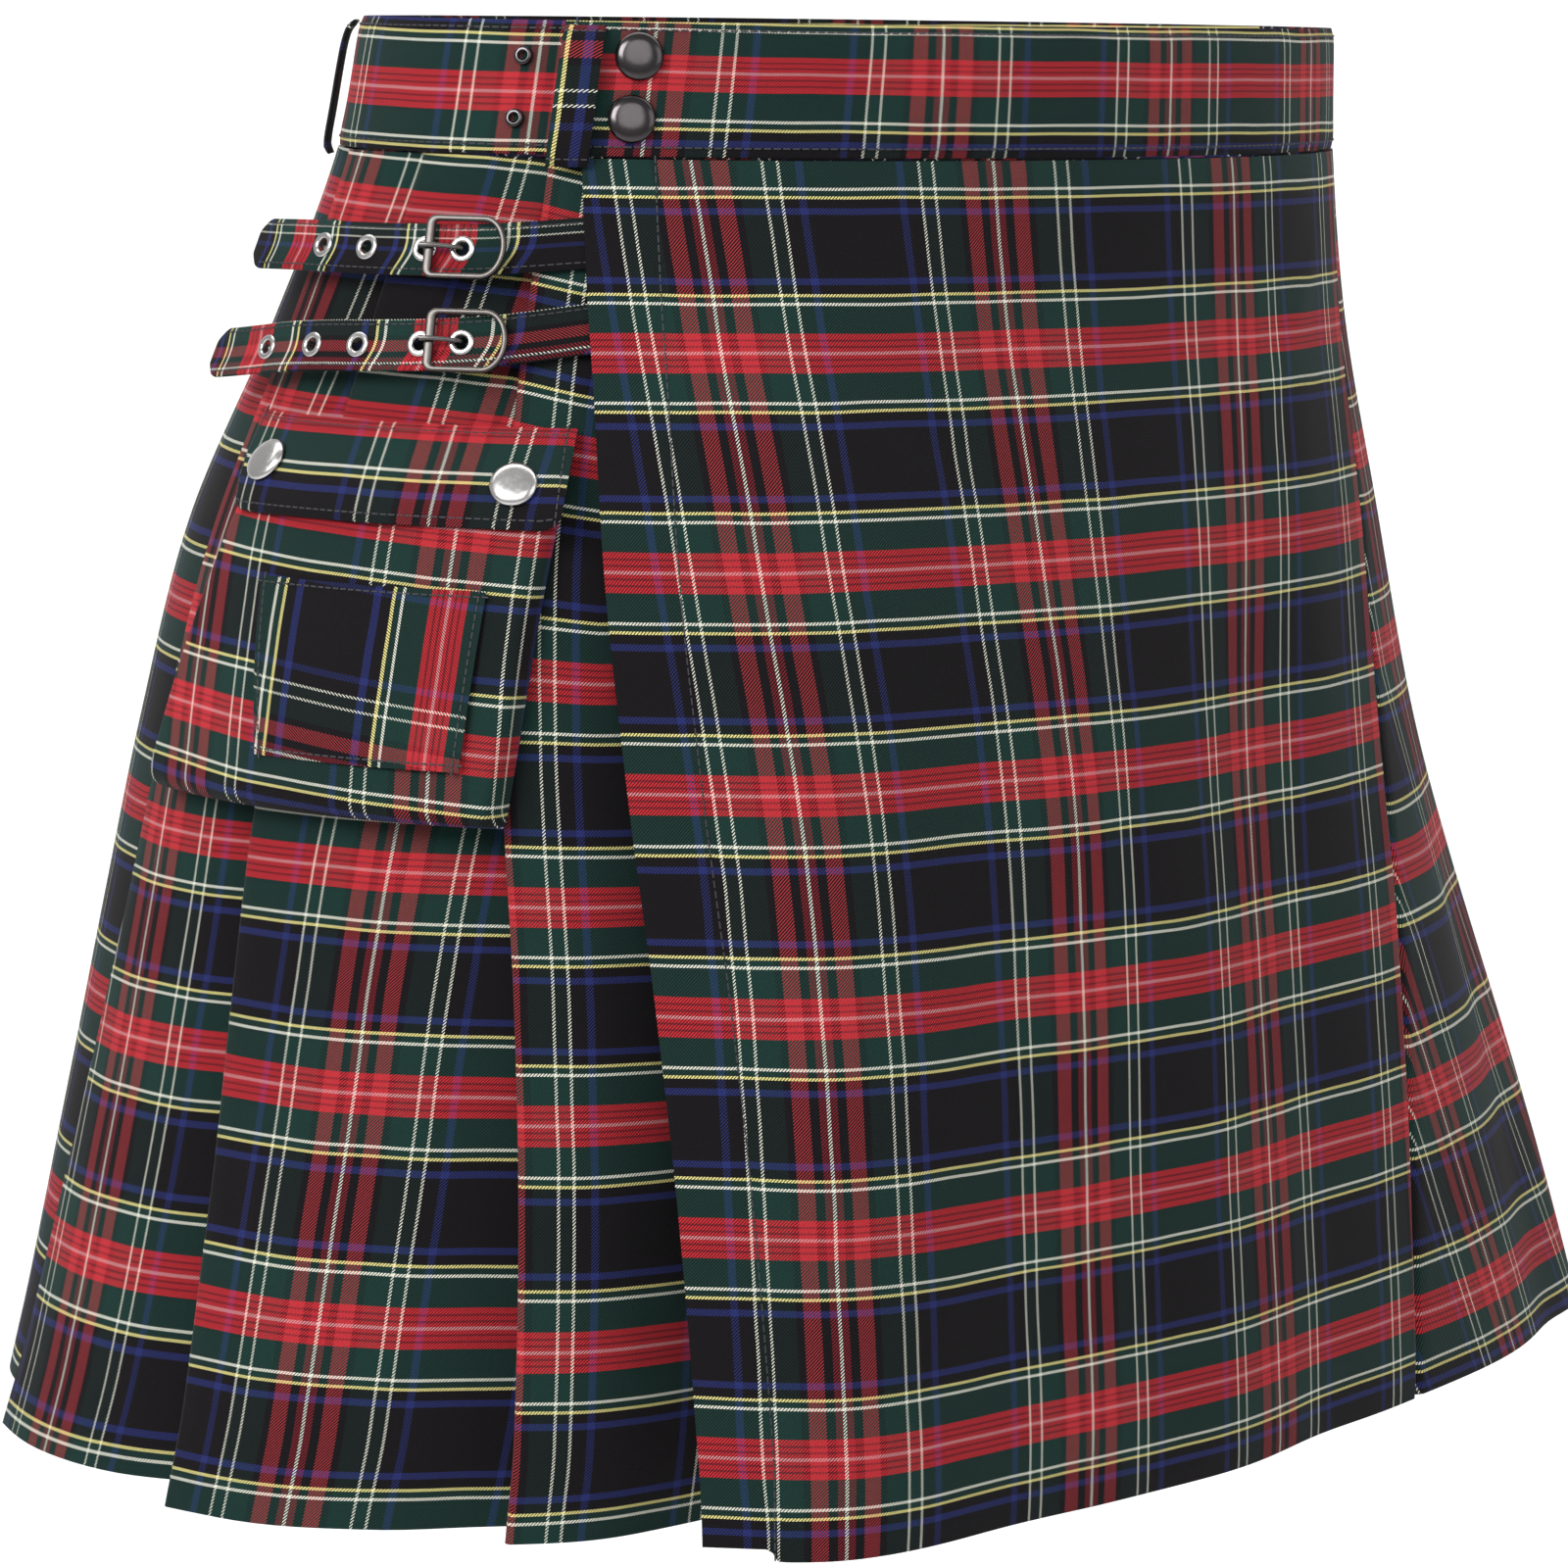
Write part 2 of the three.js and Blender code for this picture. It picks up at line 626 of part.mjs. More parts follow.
// One edge of the frame: straight bar to the rear, round nose to the front.
function frameOutline(path, rear, half, nose, chamfer) {
  const noseStart = BUCKLE.length / 2 - BUCKLE.round * BUCKLE.height / 2;
  path.moveTo(rear + chamfer, -half);
  path.lineTo(noseStart, -half);
  path.absellipse(noseStart, 0, nose, half, -Math.PI / 2, Math.PI / 2, false, 0);
  path.lineTo(rear + chamfer, half);
  path.lineTo(rear, half - chamfer);
  path.lineTo(rear, chamfer - half);
  path.closePath();
  return path;
}

function buckleFrame() {
  const { length, height, wire, bar, thick, corner, chamfer, round } = BUCKLE;
  const half = height / 2;
  const rear = -length / 2;
  const outline = frameOutline(new THREE.Shape(), rear, half, round * half, corner);
  outline.holes.push(frameOutline(new THREE.Path(), rear + bar, half - wire, round * half - wire, chamfer));
  return new THREE.ExtrudeGeometry(outline, {
    depth: thick, bevelEnabled: false, curveSegments: BEND_STEPS,
  });
}

// The prong grips the bar, runs to the eyelet and dips into it.
function prongGeometry(reach) {
  const { width, thick, grip, bend, dip, point, slope } = PRONG;
  const rear = -BUCKLE.length / 2 - grip;
  const front = -BUCKLE.length / 2 + BUCKLE.bar + bend;
  const over = BUCKLE.thick + SEAM_GAP;
  const side = new THREE.Shape();
  side.moveTo(rear, over);
  side.lineTo(front, over);
  side.lineTo(reach - slope, EYELET.rise + bend);
  side.lineTo(reach - bend, -dip);
  side.lineTo(reach - bend + point, -dip);
  side.lineTo(reach + bend, EYELET.rise + slope);
  side.lineTo(front, over + thick);
  side.lineTo(rear, over + thick);
  side.closePath();
  const geometry = new THREE.ExtrudeGeometry(side, { depth: width, bevelEnabled: false });
  return geometry.translate(0, 0, -width / 2).rotateX(Math.PI / 2);
}

function strapSet(name) {
  const strap = STRAPS[name];
  let solid = toSolid(strapWall(strap));
  strap.eyelets.forEach((angle, i) => {
    const group = onStrap(strap, angle, 0);
    add(`eyelet_${name}_${i + 1}`, eyeletGeometry(), steel(), group);
    solid = solid.subtract(toSolid(holePunch(group)));
  });
  add(`strap_${name}`, fromSolid(solid), redCloth());
  const clear = STRAP.cloth / 2 + EYELET.rise + 2 * SEAM_GAP - strap.buckle.settle;
  const frame = onStrap(strap, strap.buckle.angle, clear);
  add(`buckle_${name}`, buckleFrame(), steel(), frame);
  frame.updateMatrixWorld(true);
  const eyelet = onStrap(strap, strap.eyelets[0], clear).position.clone();
  add(`prong_${name}`, prongGeometry(frame.worldToLocal(eyelet).x), darkSteel(), frame);
}

// ---------------------------------------------------------------- pocket
const puff = (drop) => readTable(POCKET_PUFF, 'drop', 'out', drop);

// The skirt's outer skin on the wearer's right, and the middle of the pocket's front above it.
const skirtSkin = (angle, drop) => crest(drop) + layerLevel(angle + 360);
const pocketRest = (angle, drop) => skirtSkin(angle, drop) + SEAM_GAP + POCKET.cloth / 2;
const pocketFace = (angle, drop) => pocketRest(angle, drop) + puff(drop);

const fallOf = (piece, drop) => (drop - piece.top) / (piece.bottom - piece.top);
const rearEdge = (piece, drop) => piece.rear + piece.rearLean * fallOf(piece, drop);
const frontEdge = (piece, drop) => piece.front + piece.frontLean * fallOf(piece, drop);

// A bellows pocket: its sides and bottom fold back to the skirt, and its mouth is open.
function pocketBag() {
  const { bottom, gusset, columns, cloth: thickness } = POCKET;
  const grid = POCKET_ROWS.map((drop) => {
    const rear = rearEdge(POCKET, drop);
    const front = frontEdge(POCKET, drop);
    const side = degreesFor(gusset, rear, drop);
    const middle = span(columns, rear + 2 * side, front - 2 * side);
    const turns = [rear, rear + side, ...middle, front - side, front];
    return turns.map((angle, c) => {
      const fromEdge = Math.min(c, turns.length - 1 - c, GUSSET_RISE.length - 1);
      const share = drop === bottom ? 0 : GUSSET_RISE[fromEdge];
      return place(angle, drop, pocketRest(angle, drop) + share * puff(drop));
    });
  });
  add('pocket_bag', wall(grid, thickness), cloth());
}

function pocketPatch() {
  const clear = POCKET.cloth / 2 + 2 * SEAM_GAP + PATCH.cloth / 2;
  const grid = span(PATCH.rows, PATCH.top, PATCH.bottom).map((drop) =>
    span(PATCH.columns, rearEdge(PATCH, drop), frontEdge(PATCH, drop)).map((angle) =>
      place(angle, drop, pocketFace(angle, drop) + clear)));
  add('pocket_patch', wall(grid, PATCH.cloth), redCloth());
}

function flapLevel(angle, drop) {
  const rest = skirtSkin(angle, drop) + 2 * SEAM_GAP + FLAP.cloth / 2;
  const clear = POCKET.cloth + 2 * SEAM_GAP;
  const over = readTable(FLAP_CURVE, 'down', 'over', fallOf(FLAP, drop));
  return rest + over * (puff(drop) + clear);
}

function pocketFlap() {
  const { top, bottom, corner, columns, cloth: thickness } = FLAP;
  const grid = FLAP_CURVE.map((f) => {
    const row = mix(top, bottom, f.down);
    return span(columns, rearEdge(FLAP, row), frontEdge(FLAP, row)).map((angle, c) => {
      const cut = c === 0 || c === columns - 1 ? corner * f.down : 0;
      return place(angle, row - cut, flapLevel(angle, row - cut));
    });
  });
  add('pocket_flap', wall(grid, thickness), cloth());
}

// ---------------------------------------------------------------- snaps
const fastener = (profile, { radius, rise }) =>
  turned(profile.map((p) => [p.out * radius, p.up * rise]));

function snaps() {
  WAIST_SNAPS.drops.forEach((drop, i) => {
    const spot = seat(layerLevel, WAIST_SNAPS.angle, drop, SEAM_GAP);
    add(`waist_snap_${i + 1}`, fastener(SNAP_PROFILE, SNAP), darkSteel(), spot);
  });
  WAIST_STUDS.drops.forEach((drop, i) => {
    const spot = seat((angle) => layerLevel(angle + 360), WAIST_STUDS.angle, drop, SEAM_GAP);
    add(`waist_stud_${i + 1}`, fastener(STUD_PROFILE, STUD), darkSteel(), spot);
  });
  FLAP_SNAPS.forEach(({ angle, drop }, i) => {
    const spot = seat(flapLevel, angle, drop, FLAP.cloth / 2 + 2 * SEAM_GAP);
    add(`flap_snap_${i + 1}`, fastener(SNAP_PROFILE, SNAP), steel(), spot);
  });
}

waistband();
frontApron();
pleatedLength();
underApron();
beltLoops();
strapSet('upper');
strapSet('lower');
pocketBag();
pocketPatch();
pocketFlap();
snaps();

export default kilt;
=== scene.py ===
# %% [markdown]
# # A tartan utility kilt
# A kilt with a plain front apron, knife pleats from one hip round to the other, a wide waistband
# with belt loops, two eyelet straps and a bellows pocket. It is shown filled out as on a wearer.
# Lengths in the cells below are millimetres. Every mesh is made in metres.

# %% The frame and its box
import math

import bmesh
import bpy
import numpy as np
from mathutils import Matrix, Vector


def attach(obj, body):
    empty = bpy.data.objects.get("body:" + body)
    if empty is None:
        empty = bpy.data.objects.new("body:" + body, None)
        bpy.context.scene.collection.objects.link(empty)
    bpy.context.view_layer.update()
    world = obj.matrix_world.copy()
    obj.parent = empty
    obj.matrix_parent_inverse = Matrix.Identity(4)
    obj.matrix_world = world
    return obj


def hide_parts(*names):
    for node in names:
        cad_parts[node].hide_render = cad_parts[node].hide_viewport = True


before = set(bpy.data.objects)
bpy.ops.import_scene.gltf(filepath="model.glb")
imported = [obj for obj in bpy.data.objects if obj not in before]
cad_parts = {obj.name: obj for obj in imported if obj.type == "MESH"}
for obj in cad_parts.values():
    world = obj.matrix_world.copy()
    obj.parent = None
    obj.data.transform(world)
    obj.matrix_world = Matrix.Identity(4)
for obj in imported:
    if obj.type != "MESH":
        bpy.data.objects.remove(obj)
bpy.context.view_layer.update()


MM = 0.001

# %% [markdown]
# ## The camera
# It is placed before anything else is made, at the wearer's right front and nearly level.

# %% The camera
CAMERA_AZIMUTH = -40.0
CAMERA_DISTANCE = 1.890
CAMERA_HEIGHT = 0.0355
LENS = 115.8
PAN = math.atan(-62 / 5147)
PITCH = math.atan(815 / 5147)
CAMERA_ROLL = 0.9


def make_camera():
    a = math.radians(CAMERA_AZIMUTH)
    back = Vector((math.sin(a), -math.cos(a), 0))
    side = Vector((math.cos(a), math.sin(a), 0))
    up = Vector((0, 0, 1))
    ahead = -back * math.cos(PAN) + side * math.sin(PAN)
    right = side * math.cos(PAN) + back * math.sin(PAN)
    gaze = ahead * math.cos(PITCH) - up * math.sin(PITCH)
    top = up * math.cos(PITCH) + ahead * math.sin(PITCH)
    roll = math.radians(CAMERA_ROLL)
    x = right * math.cos(roll) + top * math.sin(roll)
    y = top * math.cos(roll) - right * math.sin(roll)
    data = bpy.data.cameras.new("camera")
    data.lens = LENS
    data.sensor_width = 36
    camera = bpy.data.objects.new("camera", data)
    bpy.context.scene.collection.objects.link(camera)
    spot = back * CAMERA_DISTANCE + up * CAMERA_HEIGHT
    camera.matrix_world = Matrix((
        (x.x, y.x, -gaze.x, spot.x),
        (x.y, y.y, -gaze.y, spot.y),
        (x.z, y.z, -gaze.z, spot.z),
        (0, 0, 0, 1),
    ))
    bpy.context.scene.camera = camera


make_camera()

# %% [markdown]
# ## The body form
# A kilt has no shape of its own: it takes the wearer's. So the cloth is placed on a form, a stack
# of ovals that widens from the waist to the hips and on to the hem. A place on it has a wrap angle
# round the body, a drop below the waistband's top edge, and a level above the form. Simulated cloth
# would sag and slide; a form with tables keeps every fold where it was pressed.

# %% The body form
BAND_HEIGHT = 45
LENGTH = 497
SEAM_GAP = 0.3
CLOTH = 2.0
BAND_CLOTH = 3.8
LAYER = 4.6
FOLD = 2.6

RINGS = {
    "drop": (0, 45, 110, 180, 252, 322, 393, 464, 497),
    "half": (212, 217, 230, 247, 260, 274, 292, 313, 325),
    "front": (132, 137, 151, 176, 200, 220, 232, 239, 241),
    "back": (124, 126, 155, 195, 215, 232, 243, 247, 245),
    "shift": (0, -5, -14, -22, -25, -22, -16, -10, -8),
}
SWAY = {
    "angle": (-75, -55, -42, -30, -14, 4, 20, 40, 60),
    "out": (0, 6, 16, 24, 2, -15, -18, -8, 0),
}
SWAY_START = 60
STEPS_IN = ((80, 150, LAYER), (250, 290, 0.4))


def smooth(x, start, end):
    t = np.clip((np.asarray(x, float) - start) / (end - start), 0, 1)
    return t * t * (3 - 2 * t)


def mix(a, b, t):
    return a + (b - a) * t


def curve(xs, ys, at):
    """A smooth curve through the rows of a table, read at any places."""
    xs = np.asarray(xs, float)
    ys = np.asarray(ys, float)
    x = np.clip(np.asarray(at, float), xs[0], xs[-1])
    i = np.clip(np.searchsorted(xs, x, side="left") - 1, 0, len(xs) - 2)
    slope = np.empty(len(xs))
    slope[1:-1] = (ys[2:] - ys[:-2]) / (xs[2:] - xs[:-2])
    slope[0] = (ys[1] - ys[0]) / (xs[1] - xs[0])
    slope[-1] = (ys[-1] - ys[-2]) / (xs[-1] - xs[-2])
    width = xs[i + 1] - xs[i]
    t = (x - xs[i]) / width
    ease = t * t * (3 - 2 * t)
    bend = t * (1 - t) * width
    return mix(ys[i], ys[i + 1], ease) + bend * ((1 - t) * slope[i] - t * slope[i + 1])


def ring(name, drop):
    return curve(RINGS["drop"], RINGS[name], drop)


def front_angle(wrap):
    return (np.asarray(wrap, float) + 180) % 360 - 180


def place(wrap, drop, level, sway_share=1.0):
    """Points on the form, in millimetres."""
    wrap, drop, level, sway_share = np.broadcast_arrays(wrap, drop, level, sway_share)
    turn = np.radians(wrap)
    half = ring("half", drop)
    depth = np.where(np.cos(turn) > 0, ring("front", drop), ring("back", drop))
    nx = np.sin(turn) / half
    ny = -np.cos(turn) / depth
    size = np.hypot(nx, ny)
    swing = sway_share * np.clip((drop - SWAY_START) / (LENGTH - SWAY_START), 0, 1)
    out = level + swing * curve(SWAY["angle"], SWAY["out"], front_angle(wrap))
    x = ring("shift", drop) + half * np.sin(turn) + nx / size * out
    y = -depth * np.cos(turn) + ny / size * out
    return np.stack([x, y, BAND_HEIGHT / 2 - drop + 0 * x], axis=-1)


def degrees_for(width, wrap, drop):
    """Degrees that a width spans along the form."""
    step = np.linalg.norm(place(wrap, drop, 0) - place(np.asarray(wrap) + 1, drop, 0), axis=-1)
    return width / step


def layer_level(wrap):
    """The level of the waistband's outer skin. It steps in as the strip winds under itself."""
    return -sum(by * smooth(wrap, start, end) for start, end, by in STEPS_IN)


# %% [markdown]
# ## From points to cloth
# A sheet is a grid of points on its middle surface. Both skins are offset from it along its
# normals and joined round the edge, so that each sheet is a closed shell with a real thickness.
# Each point also has its place in the flat cloth, in metres, which carries the tartan. The place in
# the cloth follows the length along the surface, so the pattern runs evenly round a fold. It is
# scaled on the straps, the loops and the patch, and eased on the apron between its red lines. It
# starts again on each pleat, inside a hidden fold.


# %% From points to cloth
def normals_of(grid):
    down = np.gradient(grid, axis=0)
    across = np.gradient(grid, axis=1)
    n = np.cross(down, across)
    return n / np.linalg.norm(n, axis=-1, keepdims=True)


def grid_faces(rows, columns, start, flip):
    r, c = np.meshgrid(np.arange(rows - 1), np.arange(columns - 1), indexing="ij")
    a = start + r * columns + c
    quad = (a, a + columns, a + columns + 1, a + 1)
    if flip:
        quad = quad[::-1]
    return np.stack([q.ravel() for q in quad], axis=1)


def rim_faces(rows, columns):
    inner = rows * columns
    top = np.arange(columns)
    bottom = (rows - 1) * columns + top
    left = np.arange(rows) * columns
    right = left + columns - 1
    faces = []
    for line in (top, right, bottom[::-1], left[::-1]):
        a, b = line[:-1], line[1:]
        faces.append(np.stack([a, b, b + inner, a + inner], axis=1))
    return np.concatenate(faces)


def link(mesh, name):
    made = bpy.data.objects.new(name, mesh)
    bpy.context.scene.collection.objects.link(made)
    return made


def mesh_object(name, points, faces, uv, material, sharp=50):
    mesh = bpy.data.meshes.new(name)
    mesh.from_pydata((np.asarray(points) * MM).tolist(), [], [list(map(int, f)) for f in faces])
    if uv is not None:
        layer = mesh.uv_layers.new(name="UVMap")
        loops = np.empty(len(mesh.loops), dtype=np.int32)
        mesh.loops.foreach_get("vertex_index", loops)
        layer.data.foreach_set("uv", np.asarray(uv, np.float32)[loops].ravel())
    mesh.materials.append(material)
    mesh.shade_smooth()
    mesh.set_sharp_from_angle(angle=math.radians(sharp))
    mesh.validate()
    return link(mesh, name)


EDGE_SHARE = (0.45, 0.9)


def thickness_shares(rows, columns, thin_edges):
    """Cloth is a little thinner at a pressed or cut edge."""
    share = np.ones((rows, columns))
    if thin_edges:
        for i, s in enumerate(EDGE_SHARE):
            share[i, :] = np.minimum(share[i, :], s)
            share[rows - 1 - i, :] = np.minimum(share[rows - 1 - i, :], s)
            share[:, i] = np.minimum(share[:, i], s)
            share[:, columns - 1 - i] = np.minimum(share[:, columns - 1 - i], s)
    return share


def shell(name, grid, uv, thickness, material, thin_edges=True):
    rows, columns = grid.shape[:2]
    share = thickness_shares(rows, columns, thin_edges)
    offset = normals_of(grid) * (share * thickness / 2)[..., None]
    points = np.concatenate([(grid + offset).reshape(-1, 3), (grid - offset).reshape(-1, 3)])
    inner = rows * columns
    faces = np.concatenate([
        grid_faces(rows, columns, 0, False),
        grid_faces(rows, columns, inner, True),
        rim_faces(rows, columns),
    ])
    flat = (uv * MM).reshape(-1, 2)
    return mesh_object(name, points, faces, np.concatenate([flat, flat]), material)


def along(grid):
    """Length along each row of a grid."""
    steps = np.linalg.norm(np.diff(grid, axis=1), axis=-1)
    return np.concatenate([np.zeros((grid.shape[0], 1)), np.cumsum(steps, axis=1)], axis=1)


def flat_size(grid):
    """Width and length of a sheet laid flat, in metres."""
    width = along(grid)[:, -1].max() * MM
    length = along(np.swapaxes(grid, 0, 1))[:, -1].max() * MM
    return float(width), float(length)


def area_of(grid):
    down = np.diff(grid, axis=0)[:, :-1]
    across = np.diff(grid, axis=1)[:-1]
    return float(np.linalg.norm(np.cross(down, across), axis=-1).sum() * MM * MM)


def declare_sheet(piece, grid):
    width, length = flat_size(grid)
    area = min(area_of(grid), width * length)
    print(f"{piece.name}: cut {width * 1000:.0f} x {length * 1000:.0f} mm, {area:.4f} m2")


# %% [markdown]
# ## The tartan
# Tartan is woven, so its colours come from two sets of stripes, one along each thread direction.
# Each set runs out and back about its red line. Where they cross, a twill shows one thread and then
# the other, on a slant. The group below does just that: two colour ramps, read from the place in
# the cloth, and a twill mask that picks between them.

# %% The tartan
THREAD = 0.0011
WARP_HALF = 0.052
REPEAT = 104
WEFT_HALF = 0.0354
RED = (0.38, 0.017, 0.024)
WARP_RED = (0.25, 0.022, 0.027)
DEEP_RED = (0.16, 0.010, 0.016)
ROSE = (0.48, 0.17, 0.18)
GREEN = (0.0055, 0.026, 0.021)
WARP_GREEN = (0.005, 0.015, 0.013)
BLUE = (0.013, 0.018, 0.09)
BLACK = (0.0038, 0.0030, 0.0038)
CREAM = (0.55, 0.55, 0.47)
YELLOW = (0.56, 0.50, 0.19)
WEFT_SHARE = 0.62

# Each row is a share of the way from the red line to the middle of the dark square, and the colour
# from there on.
WEFT = (
    (0.0, ROSE), (0.014, RED), (0.05, DEEP_RED), (0.068, RED), (0.108, DEEP_RED), (0.126, RED),
    (0.18, GREEN), (0.443, CREAM), (0.472, GREEN), (0.525, YELLOW), (0.554, BLACK),
    (0.64, BLUE), (0.70, BLACK),
)
WARP = (
    (0.0, CREAM), (0.011, DEEP_RED), (0.055, BLACK), (0.115, WARP_RED), (0.225, BLACK),
    (0.27, WARP_GREEN), (0.422, CREAM), (0.442, WARP_GREEN), (0.52, CREAM), (0.54, BLACK),
    (0.64, BLUE), (0.69, BLACK),
)


class Nodes:
    """A short way to add nodes and join them."""

    def __init__(self, tree):
        self.tree = tree

    def add(self, kind, inputs=None, **settings):
        node = self.tree.nodes.new(kind)
        for key, value in settings.items():
            setattr(node, key, value)
        for key, value in (inputs or {}).items():
            if isinstance(value, bpy.types.NodeSocket):
                self.tree.links.new(value, node.inputs[key])
            else:
                node.inputs[key].default_value = value
        return node

    def math(self, operation, a, b=0.0, c=0.0):
        return self.add("ShaderNodeMath", {0: a, 1: b, 2: c}, operation=operation).outputs[0]


def ramp(nodes, value, stops):
    node = nodes.add("ShaderNodeValToRGB", {"Fac": value})
    elements = node.color_ramp.elements
    node.color_ramp.interpolation = "CONSTANT"
    while len(elements) < len(stops):
        elements.new(1.0)
    for element, (position, colour) in zip(elements, stops):
        element.position = position
        element.color = (*colour, 1)
    return node.outputs["Color"]


def tartan_group():
    group = bpy.data.node_groups.new("tartan", "ShaderNodeTree")
    group.interface.new_socket("Cloth", in_out="INPUT", socket_type="NodeSocketVector")
    group.interface.new_socket("Colour", in_out="OUTPUT", socket_type="NodeSocketColor")
    group.interface.new_socket("Height", in_out="OUTPUT", socket_type="NodeSocketFloat")
    n = Nodes(group)
    cloth = n.add("NodeGroupInput").outputs[0]
    wobble = n.add("ShaderNodeTexNoise", {"Vector": cloth, "Scale": 24.0, "Detail": 1.0})
    sway = n.math("MULTIPLY_ADD", wobble.outputs[0], 0.0012, -0.0006)
    parts = n.add("ShaderNodeSeparateXYZ", {0: cloth})
    u = n.math("ADD", parts.outputs[0], sway)
    v = n.math("ADD", parts.outputs[1], sway)
    warp_place = n.math("DIVIDE", n.math("PINGPONG", u, WARP_HALF), WARP_HALF)
    weft_place = n.math("DIVIDE", n.math("PINGPONG", v, WEFT_HALF), WEFT_HALF)
    warp = ramp(n, warp_place, WARP)
    weft = ramp(n, weft_place, WEFT)
    slant = n.math("ADD", parts.outputs[0], parts.outputs[1])
    turns = n.math("DIVIDE", slant, THREAD)
    twill = n.math("LESS_THAN", n.math("FRACT", turns), WEFT_SHARE)
    colour = n.add("ShaderNodeMix", {0: twill, 6: warp, 7: weft}, data_type="RGBA").outputs[2]
    yarn = n.add("ShaderNodeTexNoise", {"Vector": cloth, "Scale": 1400.0, "Detail": 2.0})
    patch = n.add("ShaderNodeTexNoise", {"Vector": cloth, "Scale": 9.0, "Detail": 3.0})
    shade = n.math("MULTIPLY_ADD", yarn.outputs[0], 0.5, 0.7)
    fade = n.math("MULTIPLY_ADD", patch.outputs[0], 0.3, 0.85)
    light = n.math("MULTIPLY", shade, fade)
    tinted = n.add("ShaderNodeVectorMath", {0: colour, 3: light}, operation="SCALE").outputs[0]
    wave = n.math("SINE", n.math("MULTIPLY", turns, 2 * math.pi))
    height = n.math("MULTIPLY_ADD", wave, 0.35, yarn.outputs[0])
    n.add("NodeGroupOutput", {0: tinted, 1: height})
    return group


def cloth_material():
    material = bpy.data.materials.new("tartan wool")
    material.use_nodes = True
    n = Nodes(material.node_tree)
    uv = n.add("ShaderNodeUVMap", uv_map="UVMap").outputs[0]
    group = n.add("ShaderNodeGroup", node_tree=tartan_group())
    material.node_tree.links.new(uv, group.inputs[0])
    bump = n.add("ShaderNodeBump", {
        "Strength": 0.35, "Distance": 0.0004, "Height": group.outputs[1],
    })
    shader = material.node_tree.nodes["Principled BSDF"]
    links = material.node_tree.links
    links.new(group.outputs[0], shader.inputs["Base Color"])
    links.new(bump.outputs[0], shader.inputs["Normal"])
    shader.inputs["Roughness"].default_value = 0.85
    shader.inputs["Specular IOR Level"].default_value = 0.1
    shader.inputs["Sheen Weight"].default_value = 0.03
    shader.inputs["Sheen Roughness"].default_value = 0.5
    return material


def plain_material(name, colour, roughness, metallic=0.0, scratch=0.0):
    """A plain finish. Metal has fine handling marks in its roughness."""
    material = bpy.data.materials.new(name)
    material.use_nodes = True
    shader = material.node_tree.nodes["Principled BSDF"]
    shader.inputs["Base Color"].default_value = (*colour, 1)
    shader.inputs["Metallic"].default_value = metallic
    shader.inputs["Roughness"].default_value = roughness
    if scratch:
        n = Nodes(material.node_tree)
        place_in = n.add("ShaderNodeTexCoord").outputs["Object"]
        noise = n.add("ShaderNodeTexNoise", {"Vector": place_in, "Scale": 700.0, "Detail": 3.0})
        rough = n.math("MULTIPLY_ADD", noise.outputs[0], scratch, roughness - scratch / 2)
        material.node_tree.links.new(rough, shader.inputs["Roughness"])
    return material


TARTAN = cloth_material()
STEEL = plain_material("bright steel", (0.50, 0.49, 0.48), 0.24, 1.0, 0.18)
FRAME_STEEL = plain_material("frame steel", (0.075, 0.068, 0.064), 0.34, 1.0, 0.18)
DARK_STEEL = plain_material("dark steel", (0.055, 0.05, 0.052), 0.2, 1.0, 0.12)
CAST_STEEL = plain_material("prong steel", (0.10, 0.092, 0.09), 0.32, 1.0, 0.12)
THREADS = plain_material("dark thread", (0.018, 0.017, 0.022), 0.7)

# %% [markdown]
# ## Soft hang
# Worn cloth is never quite even. Long soft waves come in toward the hem, and a few creases run
# where the body bends it. They are a short list of ridges and troughs, each with its ends, its
# width and its height, so that any of them can be moved by hand.

# %% Soft hang
# angle and drop at the top, angle and drop at the bottom, half width in mm, height in mm
CREASES = (
    (-30, 120, -34, 497, 26, 2.2),
    (-16, 90, -20, 497, 22, -2.4),
    (2, 150, 0, 497, 28, 2.6),
    (20, 80, 10, 497, 24, -2.2),
    (34, 60, 22, 300, 18, 0.9),
    (-40, 60, -10, 170, 14, -0.8),
    (45, 60, 20, 150, 12, 0.7),
    (95, 180, 88, 497, 22, -1.5),
    (130, 200, 124, 497, 20, 1.6),
    (170, 160, 162, 497, 24, -1.4),
    (205, 220, 200, 497, 20, 1.4),
    (250, 200, 246, 497, 22, -1.5),
    (292, 290, 296, 497, 16, -1.2),
    (50, 220, 48, 497, 18, -1.2),
)


def hang(wrap, drop):
    """Height of the creases at a place on the form."""
    wrap, drop = np.broadcast_arrays(np.asarray(wrap, float), np.asarray(drop, float))
    total = np.zeros(wrap.shape)
    for top, start, bottom, end, width, height in CREASES:
        down = (drop - start) / (end - start)
        middle = mix(top, bottom, np.clip(down, 0, 1))
        apart = (wrap - middle) * 4.2 / width
        grown = smooth(drop, start, start + 0.5 * (end - start))
        if end < LENGTH:
            grown = grown * (1 - smooth(drop, end - 0.3 * (end - start), end))
        total += height * grown * np.exp(-apart * apart)
    swell = smooth(drop, 200, LENGTH)
    total += 0.7 * swell * np.sin(np.radians(wrap) * 9 + drop / 70)
    return total


# %% [markdown]
# ## The waistband
# It is one straight strip of doubled cloth, wound once and a quarter. The outer end is snapped
# down at the wearer's right front, and the strip goes in a layer on its way round the back, so
# the two turns lie on each other at the front.

# %% The waistband
BAND_START = -60.2
BAND_END = 398
BAND_STEPS = 460
BAND_ROWS = 14
BAND_SHELL = 3.0
